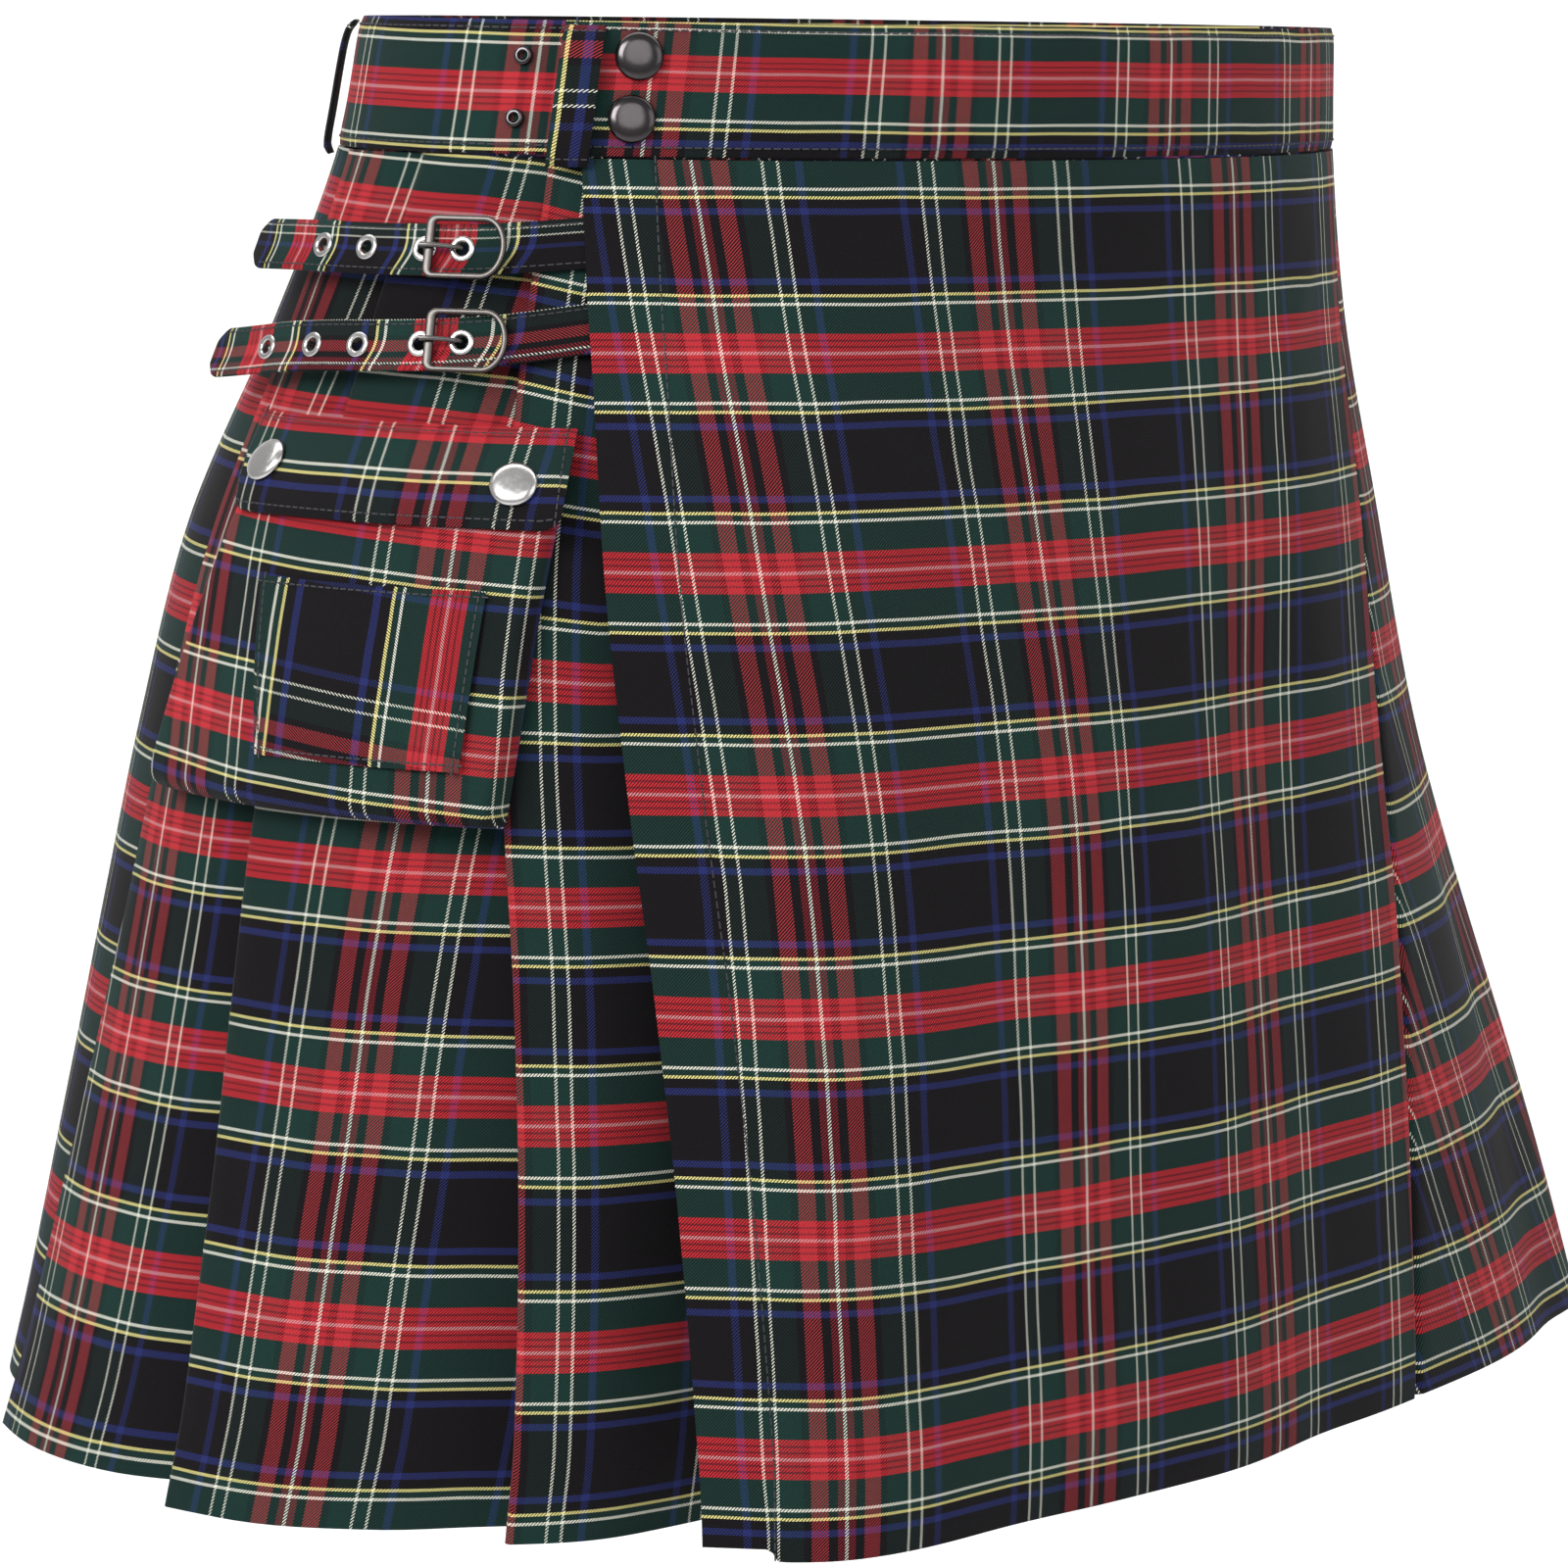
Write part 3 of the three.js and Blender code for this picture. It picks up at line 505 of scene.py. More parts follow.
# The angles of a red warp line on the outer turn and on the inner one, and the drop of the red weft
# line at the start. It comes down a little on the way round.
BAND_RED_OUTER = -18
BAND_RED_INNER = 360 - 63.3
BAND_RED_DROP = 16.5
BAND_FALL = 8
BAND_TOP_EASE = 1.15


def stack(columns):
    return np.stack(columns, axis=1)


def sheet(name, grid, u, v, thickness, thin_edges=True):
    """A sheet of tartan with its place in the cloth, and the grid that it is made on."""
    uv = np.stack(np.broadcast_arrays(u, v), axis=-1)
    return shell(name, grid, uv, thickness, TARTAN, thin_edges), grid


def waistband():
    wrap = np.linspace(BAND_START, BAND_END, BAND_STEPS)[None, :]
    drop = np.linspace(0, BAND_HEIGHT, BAND_ROWS)[:, None]
    bulge = 0.5 * np.sin(np.pi * drop / BAND_HEIGHT) ** 0.5
    ripple = 0.25 * np.sin(np.radians(wrap) * 17) * np.sin(np.pi * drop / BAND_HEIGHT)
    level = layer_level(wrap) - BAND_CLOTH / 2 - 0.3 + bulge + ripple
    grid = place(wrap, drop, level)
    length = along(grid)[BAND_ROWS // 2] + 0 * drop
    red_outer = np.interp(BAND_RED_OUTER, wrap[0], length[0])
    red_inner = np.interp(BAND_RED_INNER, wrap[0], length[0])
    turn = smooth(wrap, 90, 200)
    wanted = np.round((red_inner - red_outer) / REPEAT) * REPEAT
    u = (length - red_outer) - turn * (red_inner - red_outer - wanted)
    v = drop - BAND_RED_DROP - BAND_FALL * np.clip((wrap + 60) / 360, 0, 1)
    v = np.where((v < 0) & (wrap < 90), v * BAND_TOP_EASE, v)
    return sheet("kilt_waistband", grid, u, v, BAND_SHELL)


# %% [markdown]
# ## The pleated length and the two aprons
# Each knife pleat is a face that sinks below the next one's fold, a rounded inner fold, a hidden
# return and a rounded outer fold. The folds open toward the hem. The pleat beside the apron is
# open: its cloth comes out from under the apron's folded edge, level with it.

# %% The pleated length and the two aprons
APRON_EDGES = {
    "drop": (45, 131, 220, 340, 420, 497),
    "open": (-56, -50, -46.5, -43.5, -41.5, -39.5),
    "fold": (54, 47, 38.8, 29.3, 24.8, 21.8),
}
PLEAT_TOP = (74, 99, 124, 145, 163, 180, 197, 215, 236, 261, 281, 300)
PLEAT_HEM = (70, 91, 111, 135, 152, 173, 189, 211, 231, 257, 279, 308)
LEFT_PLEATS = 4
BACK_PLEATS = 8
PLEAT_HANG = {
    "drop": (45, 110, 180, 252, 322, 393, 464, 497),
    "depth": (5.4, 6, 8, 13, 19, 25, 30, 33),
    "lap": (13, 14, 15, 16, 17, 18, 19, 20),
    "under": (0, 3, 7, 13, 19, 25, 30, 33),
}
FACE_ACROSS = (0, 0.3, 0.62, 0.86, 1)
FACE_SUNK = (0, 0.08, 0.36, 0.76, 0.96)
FACE_LAST = (0, 0.24, 0.66, 0.93, 1)
CREST = 0.36
CREST_START = 150
UNDER_APRON = {"start": (319, 327), "end": (396, 382)}
SKIRT_ROWS = 100
SKIRT_CLOTH = 1.4
# How much higher the weft lines sit than level. At the hip they climb to the rear, and lower down
# each pleat hangs at its own height.
HIP_ANGLES = (-112, -85, -69, -60, -48)
HIP_LIFT = (14, 11.7, 10.4, 8, 1)
HIP_END = (130, 290)
LIFT_DROPS = (285, 358, 432, 497)
LIFTS = {8: (8, 6, 0, -8), 9: (8, 6, 0, -8), 10: (6, 3.5, -1.5, -3), 11: (-2, -2, -5, -6)}
BESIDE_DROPS = (45, 240, 310, 385, 465, 497)
BESIDE_LIFT = (5, 5, 0, -12, -21, -24)
BESIDE_SHEAR = 0.27
# Where the tartan's red line lies on each pleat, in mm back from its outer fold.
PLEAT_PHASE = (30, -12, -35, 8, -22, -48, 14, -30, -6, -20, -57, 10)
# Two pleats are pressed a little off the grain, in mm across for each mm down. It is counted from
# a drop, and up to a set length above it.
PLEAT_SLANT = {9: -0.1, 10: 0.05}
SLANT_DROP = 285
SLANT_ABOVE = 90
HEM_SAG = 7
HEM_SAG_START = 360
ROWS = np.linspace(BAND_HEIGHT + 3 * SEAM_GAP, LENGTH, SKIRT_ROWS)
DOWN = (ROWS - BAND_HEIGHT) / (LENGTH - BAND_HEIGHT)
WEFT_START = {"apron": 39.2, "pleats": 5.2, "beside": 21.2, "under": 12}


def pleat_hang(name, drop=ROWS):
    return curve(PLEAT_HANG["drop"], PLEAT_HANG[name], drop)


def apron_edge(name, drop=ROWS):
    return curve(APRON_EDGES["drop"], APRON_EDGES[name], drop)


# Two folds at the wearer's right are not straight: they bow to the rear on their way down.
FOLD_BOWS = {9: (0, -1, -2.5, -3, -3.5), 10: (0, -1.6, -3.2, -0.9, 2.0)}
BOW_DROPS = (45, 110, 285, 400, 497)


def fold_angle(i):
    bow = curve(BOW_DROPS, FOLD_BOWS[i], ROWS) if i in FOLD_BOWS else 0
    return mix(PLEAT_TOP[i], PLEAT_HEM[i], DOWN) + bow


def crest(drop=ROWS):
    return CREST * pleat_hang("depth", drop) * smooth(drop, CREST_START, LENGTH)


def outer_fold(fold, steps=5):
    """The rounded outer fold, from the hidden return to the face."""
    radius = degrees_for(FOLD / 2, fold, ROWS)
    for a in np.linspace(-math.pi / 2, math.pi / 2, steps):
        yield fold + radius * (1 - math.cos(a)), FOLD / 2 * (1 - math.sin(a)) + 0 * fold


def inner_fold(edge, depth, steps=5):
    """The rounded inner fold, from the face to the hidden return."""
    radius = degrees_for(FOLD / 2, edge, ROWS)
    for a in np.linspace(math.pi / 2, -math.pi / 2, steps):
        yield edge - radius * (1 - math.cos(a)), depth - FOLD / 2 * (1 - math.sin(a))


def hidden_turn(to, crested=True):
    """From under the next fold, round the inner fold and back. The last fold has no crest."""
    depth = pleat_hang("depth")
    edge = to + degrees_for(pleat_hang("lap"), to, ROWS)
    radius = degrees_for(FOLD / 2, to, ROWS)
    path = [(mix(to, edge - radius, t), depth * mix(0.96, 1, t)) for t in (0.35, 0.7)]
    path += list(inner_fold(edge, depth))
    extra = 0 * ROWS if crested else crest() + 1
    path += [(mix(edge - radius, to + radius, t), mix(depth - FOLD, FOLD + extra, t))
             for t in (0.25, 0.5, 0.75)]
    return path


def face(fold, to, steps=18):
    depth = pleat_hang("depth")
    start = fold + degrees_for(FOLD / 2, fold, ROWS)
    for across in np.linspace(0, 1, steps)[1:]:
        yield mix(start, to, across), depth * curve(FACE_ACROSS, FACE_SUNK, across)


def to_points(path, base=True):
    """Points for a path of wraps and depths."""
    wrap = stack([p[0] + 0 * ROWS for p in path])
    depth = stack([p[1] + 0 * ROWS for p in path])
    drop = ROWS[:, None] + 0 * wrap
    level = hang(wrap, drop) - CLOTH / 2 - depth
    if base:
        level = level + layer_level(wrap) + crest(drop)
    return place(wrap, drop, level)


def cloth_place(grid, start_column, phase, weft, lift=0):
    """Place in the cloth for a grid, with a stated place at one column."""
    length = along(grid)
    u = length - length[:, start_column:start_column + 1] + phase
    v = ROWS[:, None] - weft + lift + 0 * u
    return np.stack([u, v], axis=-1)


def pleat_lift(i, wrap):
    """How much higher the weft lines sit on a pleat, at the wraps of its grid."""
    if i not in LIFTS:
        return -HEM_SAG * smooth(ROWS, HEM_SAG_START, LENGTH)[:, None] + 0 * wrap
    hip = np.interp(wrap - 360, HIP_ANGLES, HIP_LIFT)
    lower = curve(LIFT_DROPS, LIFTS[i], ROWS)[:, None]
    return mix(hip, lower, smooth(ROWS, *HIP_END)[:, None])


def pleat_pieces(first, last):
    """Grids and cloth places for a run of knife pleats, ready to be joined."""
    grids, places = [], []
    for i in range(first, last):
        path = list(outer_fold(fold_angle(i)))
        path += list(face(fold_angle(i), fold_angle(i + 1)))
        crested = i + 2 < len(PLEAT_TOP)
        path += hidden_turn(fold_angle(i + 1), crested)
        grid = to_points(path)
        lift = pleat_lift(i, stack([p[0] for p in path]))
        grids.append(grid)
        cloth = cloth_place(grid, 3, PLEAT_PHASE[i], WEFT_START["pleats"], lift)
        below = np.maximum(ROWS - SLANT_DROP, -SLANT_ABOVE)
        cloth[..., 0] += PLEAT_SLANT.get(i, 0) * below[:, None]
        places.append(cloth)
    return grids, places


BESIDE_TUCK = 24
BESIDE_RISE = 7
BESIDE_RED = 31.5
BESIDE_SHEAR_DROP = 380
BESIDE_SINK = {"across": (0.72, 0.88, 1), "share": (0, 0.42, 0.96)}
BESIDE_FLARE = {"out": 10, "middle": 0.69, "spread": 0.13, "start": 240}


def beside_flare(across):
    """How far the open pleat's cloth stands out near the hem."""
    spot = (across - BESIDE_FLARE["middle"]) / BESIDE_FLARE["spread"]
    return BESIDE_FLARE["out"] * np.exp(-spot ** 2) * smooth(ROWS, BESIDE_FLARE["start"], LENGTH)


def open_pleat():
    """The cloth beside the apron, from under its edge to the first knife pleat."""
    fold = apron_edge("fold")
    to = fold_angle(0)
    depth = pleat_hang("depth")
    under = 2 * FOLD + SEAM_GAP + 0 * ROWS

    def past(width):
        return fold + degrees_for(width, fold, ROWS)

    path = [(mix(past(-BESIDE_TUCK), past(1.5), t), under) for t in np.linspace(0, 1, 6)]
    path += [(mix(past(1.5), past(BESIDE_RISE), t), mix(under, 1.2, smooth(t, 0, 1)))
             for t in (0.25, 0.5, 0.75, 1)]
    beyond = past(BESIDE_RISE)
    start = (beyond - fold) / (to - fold)
    for t in np.linspace(0, 1, 34)[1:]:
        across = mix(start, 1, t)
        level = curve((0, 0.3, 0.6, 1), (1.2, 0.5, 0, 0), across)
        sunk = curve(BESIDE_SINK["across"], BESIDE_SINK["share"], across)
        path.append((mix(fold, to, across), level + sunk * depth - beside_flare(across)))
    flat_part = to_points(path, base=False)
    turn = to_points(hidden_turn(to))
    grid = np.concatenate([flat_part, turn], axis=1)
    length = along(grid)
    wraps = stack([p[0] + 0 * ROWS for p in path])
    red = np.array([np.interp(BESIDE_RED, w, s[:len(w)]) for w, s in zip(wraps, length)])
    u = length - red[:, None] - BESIDE_SHEAR * (ROWS[:, None] - BESIDE_SHEAR_DROP)
    v = (ROWS - WEFT_START["beside"] + curve(BESIDE_DROPS, BESIDE_LIFT, ROWS))[:, None] + 0 * u
    return grid, np.stack([u, v], axis=-1)


def last_face():
    last = len(PLEAT_TOP) - 1
    fold = fold_angle(last)
    end = mix(*UNDER_APRON["start"], DOWN)
    to = end - degrees_for(3 * SEAM_GAP, end, ROWS)
    radius = degrees_for(FOLD / 2, fold, ROWS)
    path = [(w, d, 0.0) for w, d in outer_fold(fold)]
    for across in np.linspace(0, 1, 22)[1:]:
        sunk = curve(FACE_ACROSS, FACE_LAST, across) * pleat_hang("under")
        path.append((mix(fold + radius, to, across), sunk, across))
    wrap = stack([p[0] for p in path])
    depth = stack([p[1] for p in path])
    share = 1 - np.array([p[2] for p in path])[None, :]
    drop = ROWS[:, None] + 0 * wrap
    level = layer_level(wrap) - CLOTH / 2 - depth
    grid = place(wrap, drop, level, share)
    lift = pleat_lift(last, wrap)
    return grid, cloth_place(grid, 3, PLEAT_PHASE[last], WEFT_START["pleats"], lift)


def pleated_length():
    """The three joined lengths. Each join is in a hidden return."""
    left = pleat_pieces(0, LEFT_PLEATS)
    middle = pleat_pieces(LEFT_PLEATS, BACK_PLEATS)
    right = pleat_pieces(BACK_PLEATS, len(PLEAT_TOP) - 1)
    beside = open_pleat()
    last = last_face()
    made = []
    runs = (
        ("kilt_pleats_left", [beside[0], *left[0]], [beside[1], *left[1]]),
        ("kilt_pleats_back", middle[0], middle[1]),
        ("kilt_pleats_right", [*right[0], last[0]], [*right[1], last[1]]),
    )
    for name, grids, places in runs:
        grid = np.concatenate(grids, axis=1)
        uv = np.concatenate(places, axis=1)
        made.append((shell(name, grid, uv, SKIRT_CLOTH, TARTAN, thin_edges=False), grid))
    return made


STRIP = 25
HEM_LIFT = 4
APRON_COLUMNS = 130


# The angles of the apron's three red lines, by drop. The cloth is eased a little between them.
RED_DROPS = (45, 105, 165, 250, 325, 396, 468, 499)
RED_LINES = (
    (-43.8, -38.7, -35.1, -32.6, -32.3, -32.1, -31.4, -31),
    (-12, -9.9, -8.6, -8.4, -10.8, -12.5, -12.9, -13),
    (20.3, 20.3, 18, 12.7, 8.6, 6.1, 4.9, 4.6),
)


def apron_level(wrap, drop):
    """The apron hangs on its creases, with a sewn groove beside the strip on its free edge."""
    edge = apron_edge("open", drop)
    gap = (wrap - edge) / degrees_for(1, edge, drop) - STRIP
    groove = -0.7 * np.exp(-(gap / 1.6) ** 2)
    return hang(wrap, drop) * smooth(gap, -30, 30) + groove - CLOTH / 2


def front_apron():
    """The outer panel, with a sewn strip along its free edge and its far edge folded under."""
    start = apron_edge("open")
    fold = apron_edge("fold")
    radius = degrees_for(FOLD / 2, fold, ROWS)
    back = degrees_for(26, fold, ROWS)
    strip_end = start + degrees_for(STRIP, start, ROWS)
    wraps = [mix(start, strip_end, t) for t in np.linspace(0, 1, 13)[:-1]]
    wraps += [mix(strip_end, fold - radius, t) for t in np.linspace(0, 1, APRON_COLUMNS)]
    depths = [0 * ROWS] * len(wraps)
    for a in np.linspace(math.pi / 2, -math.pi / 2, 6)[1:]:
        wraps.append(fold - radius * (1 - math.cos(a)))
        depths.append(FOLD / 2 * (1 - math.sin(a)) + 0 * ROWS)
    for t in (0.3, 0.65, 1):
        wraps.append(mix(fold - radius, fold - back, t))
        depths.append(FOLD + 0 * ROWS)
    wrap, depth = stack(wraps), stack(depths)
    lift = np.zeros(wrap.shape)
    lift[:, :12] = HEM_LIFT * smooth(DOWN, 0.9, 1)[:, None]
    lift[:, 11] *= 0.7
    drop = ROWS[:, None] - lift
    grid = place(wrap, drop, apron_level(wrap, drop) - depth)
    length = along(grid)
    reds = np.stack([curve(RED_DROPS, line, ROWS) for line in RED_LINES])
    front = wrap.shape[1] - 9
    u = np.empty(wrap.shape)
    for r in range(SKIRT_ROWS):
        s = length[r]
        knots = np.interp(reds[:, r], wrap[r, :front], s[:front])
        u[r] = np.interp(s, knots, (-REPEAT, 0, REPEAT))
        u[r] = np.where(s < knots[0], s - knots[0] - REPEAT, u[r])
        u[r] = np.where(s > knots[2], s - knots[2] + REPEAT, u[r])
    v = drop - WEFT_START["apron"]
    return sheet("kilt_front_apron", grid, u, v, SKIRT_CLOTH)


def under_apron():
    start = mix(*UNDER_APRON["start"], DOWN)
    end = mix(*UNDER_APRON["end"], DOWN)
    wrap = stack([mix(start, end, t) for t in np.linspace(0, 1, 70)])
    drop = ROWS[:, None] + 0 * wrap
    level = layer_level(wrap) - CLOTH / 2 - pleat_hang("under", drop)
    grid = place(wrap, drop, level, 0)
    uv = cloth_place(grid, 30, 0, WEFT_START["under"])
    return shell("kilt_under_apron", grid, uv, SKIRT_CLOTH, TARTAN), grid


# %% [markdown]
# ## Belt loops
# Each is a doubled strip sewn over the waistband at its top and bottom. It bows out between.

# %% Belt loops
LOOP_WRAPS = (-57.5, 116, 180, 244)
LOOP_PHASES = (-0.6, 30, 62, 24)
# The tartan's place at the middle of a loop, and the share by which it is drawn in across it.
LOOP_CUT = 22.2
LOOP_DRAWN = 0.66
LOOP = {"width": 14, "top": 1.5, "bottom": 48.5, "cloth": 1.8, "bow": 3.2}
LOOP_DOWN = (0, 0.08, 0.3, 0.7, 0.92, 1)
LOOP_OUT = (0, 0.7, 1, 1, 0.7, 0)


def belt_loop(i):
    down = np.linspace(0, 1, 44)
    drop = mix(LOOP["top"], LOOP["bottom"], down)[:, None]
    reach = np.linspace(-0.5, 0.5, 11)[None, :]
    wrap = LOOP_WRAPS[i] + degrees_for(LOOP["width"], LOOP_WRAPS[i], 24) * reach
    bow = curve(LOOP_DOWN, LOOP_OUT, down)[:, None] * LOOP["bow"]
    crown = 0.35 * (1 - (2 * reach) ** 2)
    level = layer_level(LOOP_WRAPS[i]) + SEAM_GAP + LOOP["cloth"] / 2 + bow + crown
    grid = place(wrap, drop, level)
    u = LOOP_PHASES[i] + drop
    v = LOOP_CUT + LOOP_DRAWN * LOOP["width"] * reach
    return sheet(f"kilt_belt_loop_{i + 1}", grid, u, v, LOOP["cloth"])


# %% [markdown]
# ## The straps
# Two doubled strips come from under the apron's free edge, pass through their buckles and end in
# loose pointed tips. Their eyelet holes are cut right through the cloth.

# %% The straps
STRAP = {"width": 17, "cloth": 2}
STRAP_TIP = {"back": (0, 1.2, 3.2, 6), "narrow": (5.5, 3, 1, 0)}
STRAPS = {
    "upper": {
        "angle": (-106, -103, -99, -94, -88, -80, -72, -66, -61, -56, -53, -50.5),
        "drop": (79, 78.8, 78.4, 78, 77.8, 77.6, 77.3, 76.7, 75.7, 74.5, 73.8, 73.2),
        "level": (12, 10, 7.6, 5.4, 3.8, 2.6, 1.9, 1.2, -0.4, -3.2, -3.3, -3.3),
        "eyelets": (-68, -73, -81.8, -89.8),
        "buckle": -67.4, "settle": 0.1, "red": -69.1, "scale": (1.06, 0.9), "across": (34.2, 1.8),
    },
    "lower": {
        "angle": (-107, -103, -98, -92, -85, -78, -70, -63, -58, -53.5, -50, -47.5),
        "drop": (117.6, 116.4, 114.6, 112.4, 110.8, 109.8, 108.6, 107, 105, 103, 101.4, 100.4),
        "level": (12.5, 9.8, 7.2, 4.8, 3.7, 3.1, 2.4, 1.4, -0.8, -3.2, -3.3, -3.3),
        "eyelets": (-65.5, -70.5, -79, -86.4, -94.9),
        "buckle": -64.8, "settle": 0.4, "red": -69, "scale": (0.9, 0.8), "across": (9.4, -1.54),
    },
}
EYELET = {"hole": 2.3, "barrel": 2.9, "brim": 4.5, "cut": 3.2, "rise": 0.8}


def strap_drop(strap, angle):
    return curve(strap["angle"], strap["drop"], angle)


def strap_level(strap, angle):
    return curve(strap["angle"], strap["level"], angle)


def seat(surface, angle, drop, clear):
    """Axes of a spot on a surface: round the body, up and out."""
    def at(a, d):
        return place(a, d, surface(a, d))

    across = at(angle + 1, drop) - at(angle - 1, drop)
    across = across / np.linalg.norm(across)
    up = at(angle, drop - 1) - at(angle, drop + 1)
    out = np.cross(across, up)
    out = out / np.linalg.norm(out)
    up = np.cross(out, across)
    return at(angle, drop) + out * clear, np.stack([across, up, out])


def on_strap(strap, angle, clear):
    return seat(lambda a, d: strap_level(strap, a), angle, strap_drop(strap, angle), clear)


def seated(points, spot):
    """Points of a fitting, moved from its own axes to its spot."""
    origin, axes = spot
    return origin + np.asarray(points) @ axes


def strap_grid(strap):
    tip, root = strap["angle"][0], strap["angle"][-1]
    per_mm = degrees_for(1, tip, float(strap_drop(strap, tip)))
    nose = tip + np.array([0, 0.6, 1.2, 2.2, 3.2, 4.6, 6]) * per_mm
    body = np.linspace(nose[-1] + 0.4, root, 150)
    angle = np.concatenate([nose, body])[None, :]
    narrow = curve(STRAP_TIP["back"], STRAP_TIP["narrow"], (angle - tip) / per_mm)
    side = np.linspace(-1, 1, 13)[:, None]
    half = STRAP["width"] / 2 - narrow
    drop = strap_drop(strap, angle) + side * half
    crown = 0.25 * (1 - side ** 4)
    grid = place(angle, drop, strap_level(strap, angle) + crown)
    length = along(grid)
    red = np.interp(strap["red"], angle[0], length[6])
    behind, before = strap["scale"]
    v = (length - red) * np.where(length < red, behind, before)
    middle, spread = strap["across"]
    u = middle + side * half * spread
    return grid, np.stack([u, v], axis=-1)


def cut_holes(piece, strap):
    """Cuts the eyelet holes through a strap with one set of round punches."""
    mesh = bpy.data.meshes.new("punches")
    made = bmesh.new()
    for angle in strap["eyelets"]:
        origin, axes = on_strap(strap, angle, 0)
        turn = Matrix([list(map(float, row)) for row in axes.T]).to_4x4()
        spot = Matrix.Translation(Vector(origin * MM)) @ turn
        bmesh.ops.create_cone(made, cap_ends=True, segments=32, radius1=EYELET["cut"] * MM,
                              radius2=EYELET["cut"] * MM, depth=0.008, matrix=spot)
    made.to_mesh(mesh)
    made.free()
    punches = link(mesh, "punches")
    modifier = piece.modifiers.new("holes", "BOOLEAN")
    modifier.object = punches
    modifier.operation = "DIFFERENCE"
    modifier.solver = "EXACT"
    make_plain(piece)
    bpy.data.objects.remove(punches)


def make_plain(piece):
    """Keeps what the modifiers made as plain mesh, and takes them off."""
    bpy.context.view_layer.update()
    graph = bpy.context.evaluated_depsgraph_get()
    mesh = bpy.data.meshes.new_from_object(piece.evaluated_get(graph), depsgraph=graph)
    piece.modifiers.clear()
    piece.data = mesh
    return piece


def strap_piece(name):
    strap = STRAPS[name]
    grid, uv = strap_grid(strap)
    piece = shell(f"kilt_strap_{name}", grid, uv, STRAP["cloth"], TARTAN)
    cut_holes(piece, strap)
    return piece, grid


# %% [markdown]
# ## Metal fittings
# Eyelets, snap caps and studs are turned from a profile. A buckle frame is a rounded bar swept
# round its outline, with a wider bar at the rear for the prong.

# %% Metal fittings
TURNS = 48
BUCKLE = {"length": 29, "height": 22, "wire": 2.0, "bar": 3.2, "thick": 2.2, "round": 0.75}
PRONG = {"width": 1.6, "thick": 1.5, "grip": 1.2, "dip": 0.8}
SNAP = {"radius": 8.2, "rise": 2.6}
STUD = {"radius": 3.3, "rise": 1.6}
SNAP_PROFILE = ((0, 0), (0.97, 0), (1, 0.08), (1, 0.24), (0.97, 0.42), (0.9, 0.62), (0.78, 0.8),
                (0.6, 0.93), (0.35, 0.985), (0, 1))
STUD_PROFILE = ((0.48, 0), (1, 0), (1, 0.3), (0.92, 0.85), (0.8, 1), (0.6, 1), (0.5, 0.8),
                (0.48, 0))


def turned(profile):
    """A turned solid: points and faces. A profile may start and end on the axis or be a loop."""
    angles = np.linspace(0, 2 * math.pi, TURNS, endpoint=False)
    points, rings = [], []
    for out, up in profile:
        if out == 0:
            rings.append([len(points)])
            points.append((0, 0, up))
        else:
            rings.append(list(range(len(points), len(points) + TURNS)))
            points += [(out * math.cos(a), out * math.sin(a), up) for a in angles]
    faces = []
    for a, b in zip(rings[:-1], rings[1:]):
        for i in range(TURNS):
            j = (i + 1) % TURNS
            corners = [a[i % len(a)], a[j % len(a)], b[j % len(b)], b[i % len(b)]]
            faces.append(list(dict.fromkeys(corners)))
    return np.array(points, float), faces


def fittings(name, parts, material, sharp=35):
    """Several seated fittings as one piece."""
    points, faces, count = [], [], 0
    for part_points, part_faces in parts:
        points.append(part_points)
        faces += [[i + count for i in f] for f in part_faces]
        count += len(part_points)
    piece = mesh_object(name, np.concatenate(points), faces, None, material, sharp)
    merge_and_face_out(piece)
    return piece


def merge_and_face_out(piece):
    made = bmesh.new()
    made.from_mesh(piece.data)
    bmesh.ops.remove_doubles(made, verts=made.verts, dist=1e-6)
    bmesh.ops.recalc_face_normals(made, faces=made.faces)
    made.to_mesh(piece.data)
    made.free()


def eyelet_profile():
    bottom = 0.1 - STRAP["cloth"] / 2
    rest = STRAP["cloth"] / 2 + SEAM_GAP
    top = rest + EYELET["rise"]
    hole, barrel, brim = EYELET["hole"], EYELET["barrel"], EYELET["brim"]
    arc = [(mix(hole, brim, (1 - math.cos(a)) / 2), rest + (top - rest) * math.sin(a) ** 0.8)
           for a in np.linspace(0, math.pi, 12)]
    return [(barrel, bottom), (barrel, rest), *arc[::-1][:-1], (hole, rest), (hole, bottom),
            (barrel, bottom)]


def eyelets(name):
    strap = STRAPS[name]
    points, faces = turned(eyelet_profile())
    parts = [(seated(points, on_strap(strap, a, 0)), faces) for a in strap["eyelets"]]
    return fittings(f"kilt_eyelets_{name}", parts, STEEL)


def frame_line(inset, bar_inset, steps=20):
    """One closed line of a buckle frame, going round from its rear lower corner."""
    half = BUCKLE["height"] / 2
    rear = -BUCKLE["length"] / 2 + bar_inset
    nose = BUCKLE["length"] / 2 - BUCKLE["round"] * half
    y = half - inset
    reach = BUCKLE["round"] * half - inset
    corner = max(3.4 - inset, 0.8)
    line = []
    for a in np.linspace(math.pi, 1.5 * math.pi, 8):
        line.append((rear + corner + corner * math.cos(a), -y + corner + corner * math.sin(a)))
    for a in np.linspace(-math.pi / 2, math.pi / 2, steps):
        line.append((nose + reach * math.cos(a), y * math.sin(a)))
    for a in np.linspace(math.pi / 2, math.pi, 8):
        line.append((rear + corner + corner * math.cos(a), y - corner + corner * math.sin(a)))
    return np.array(line)


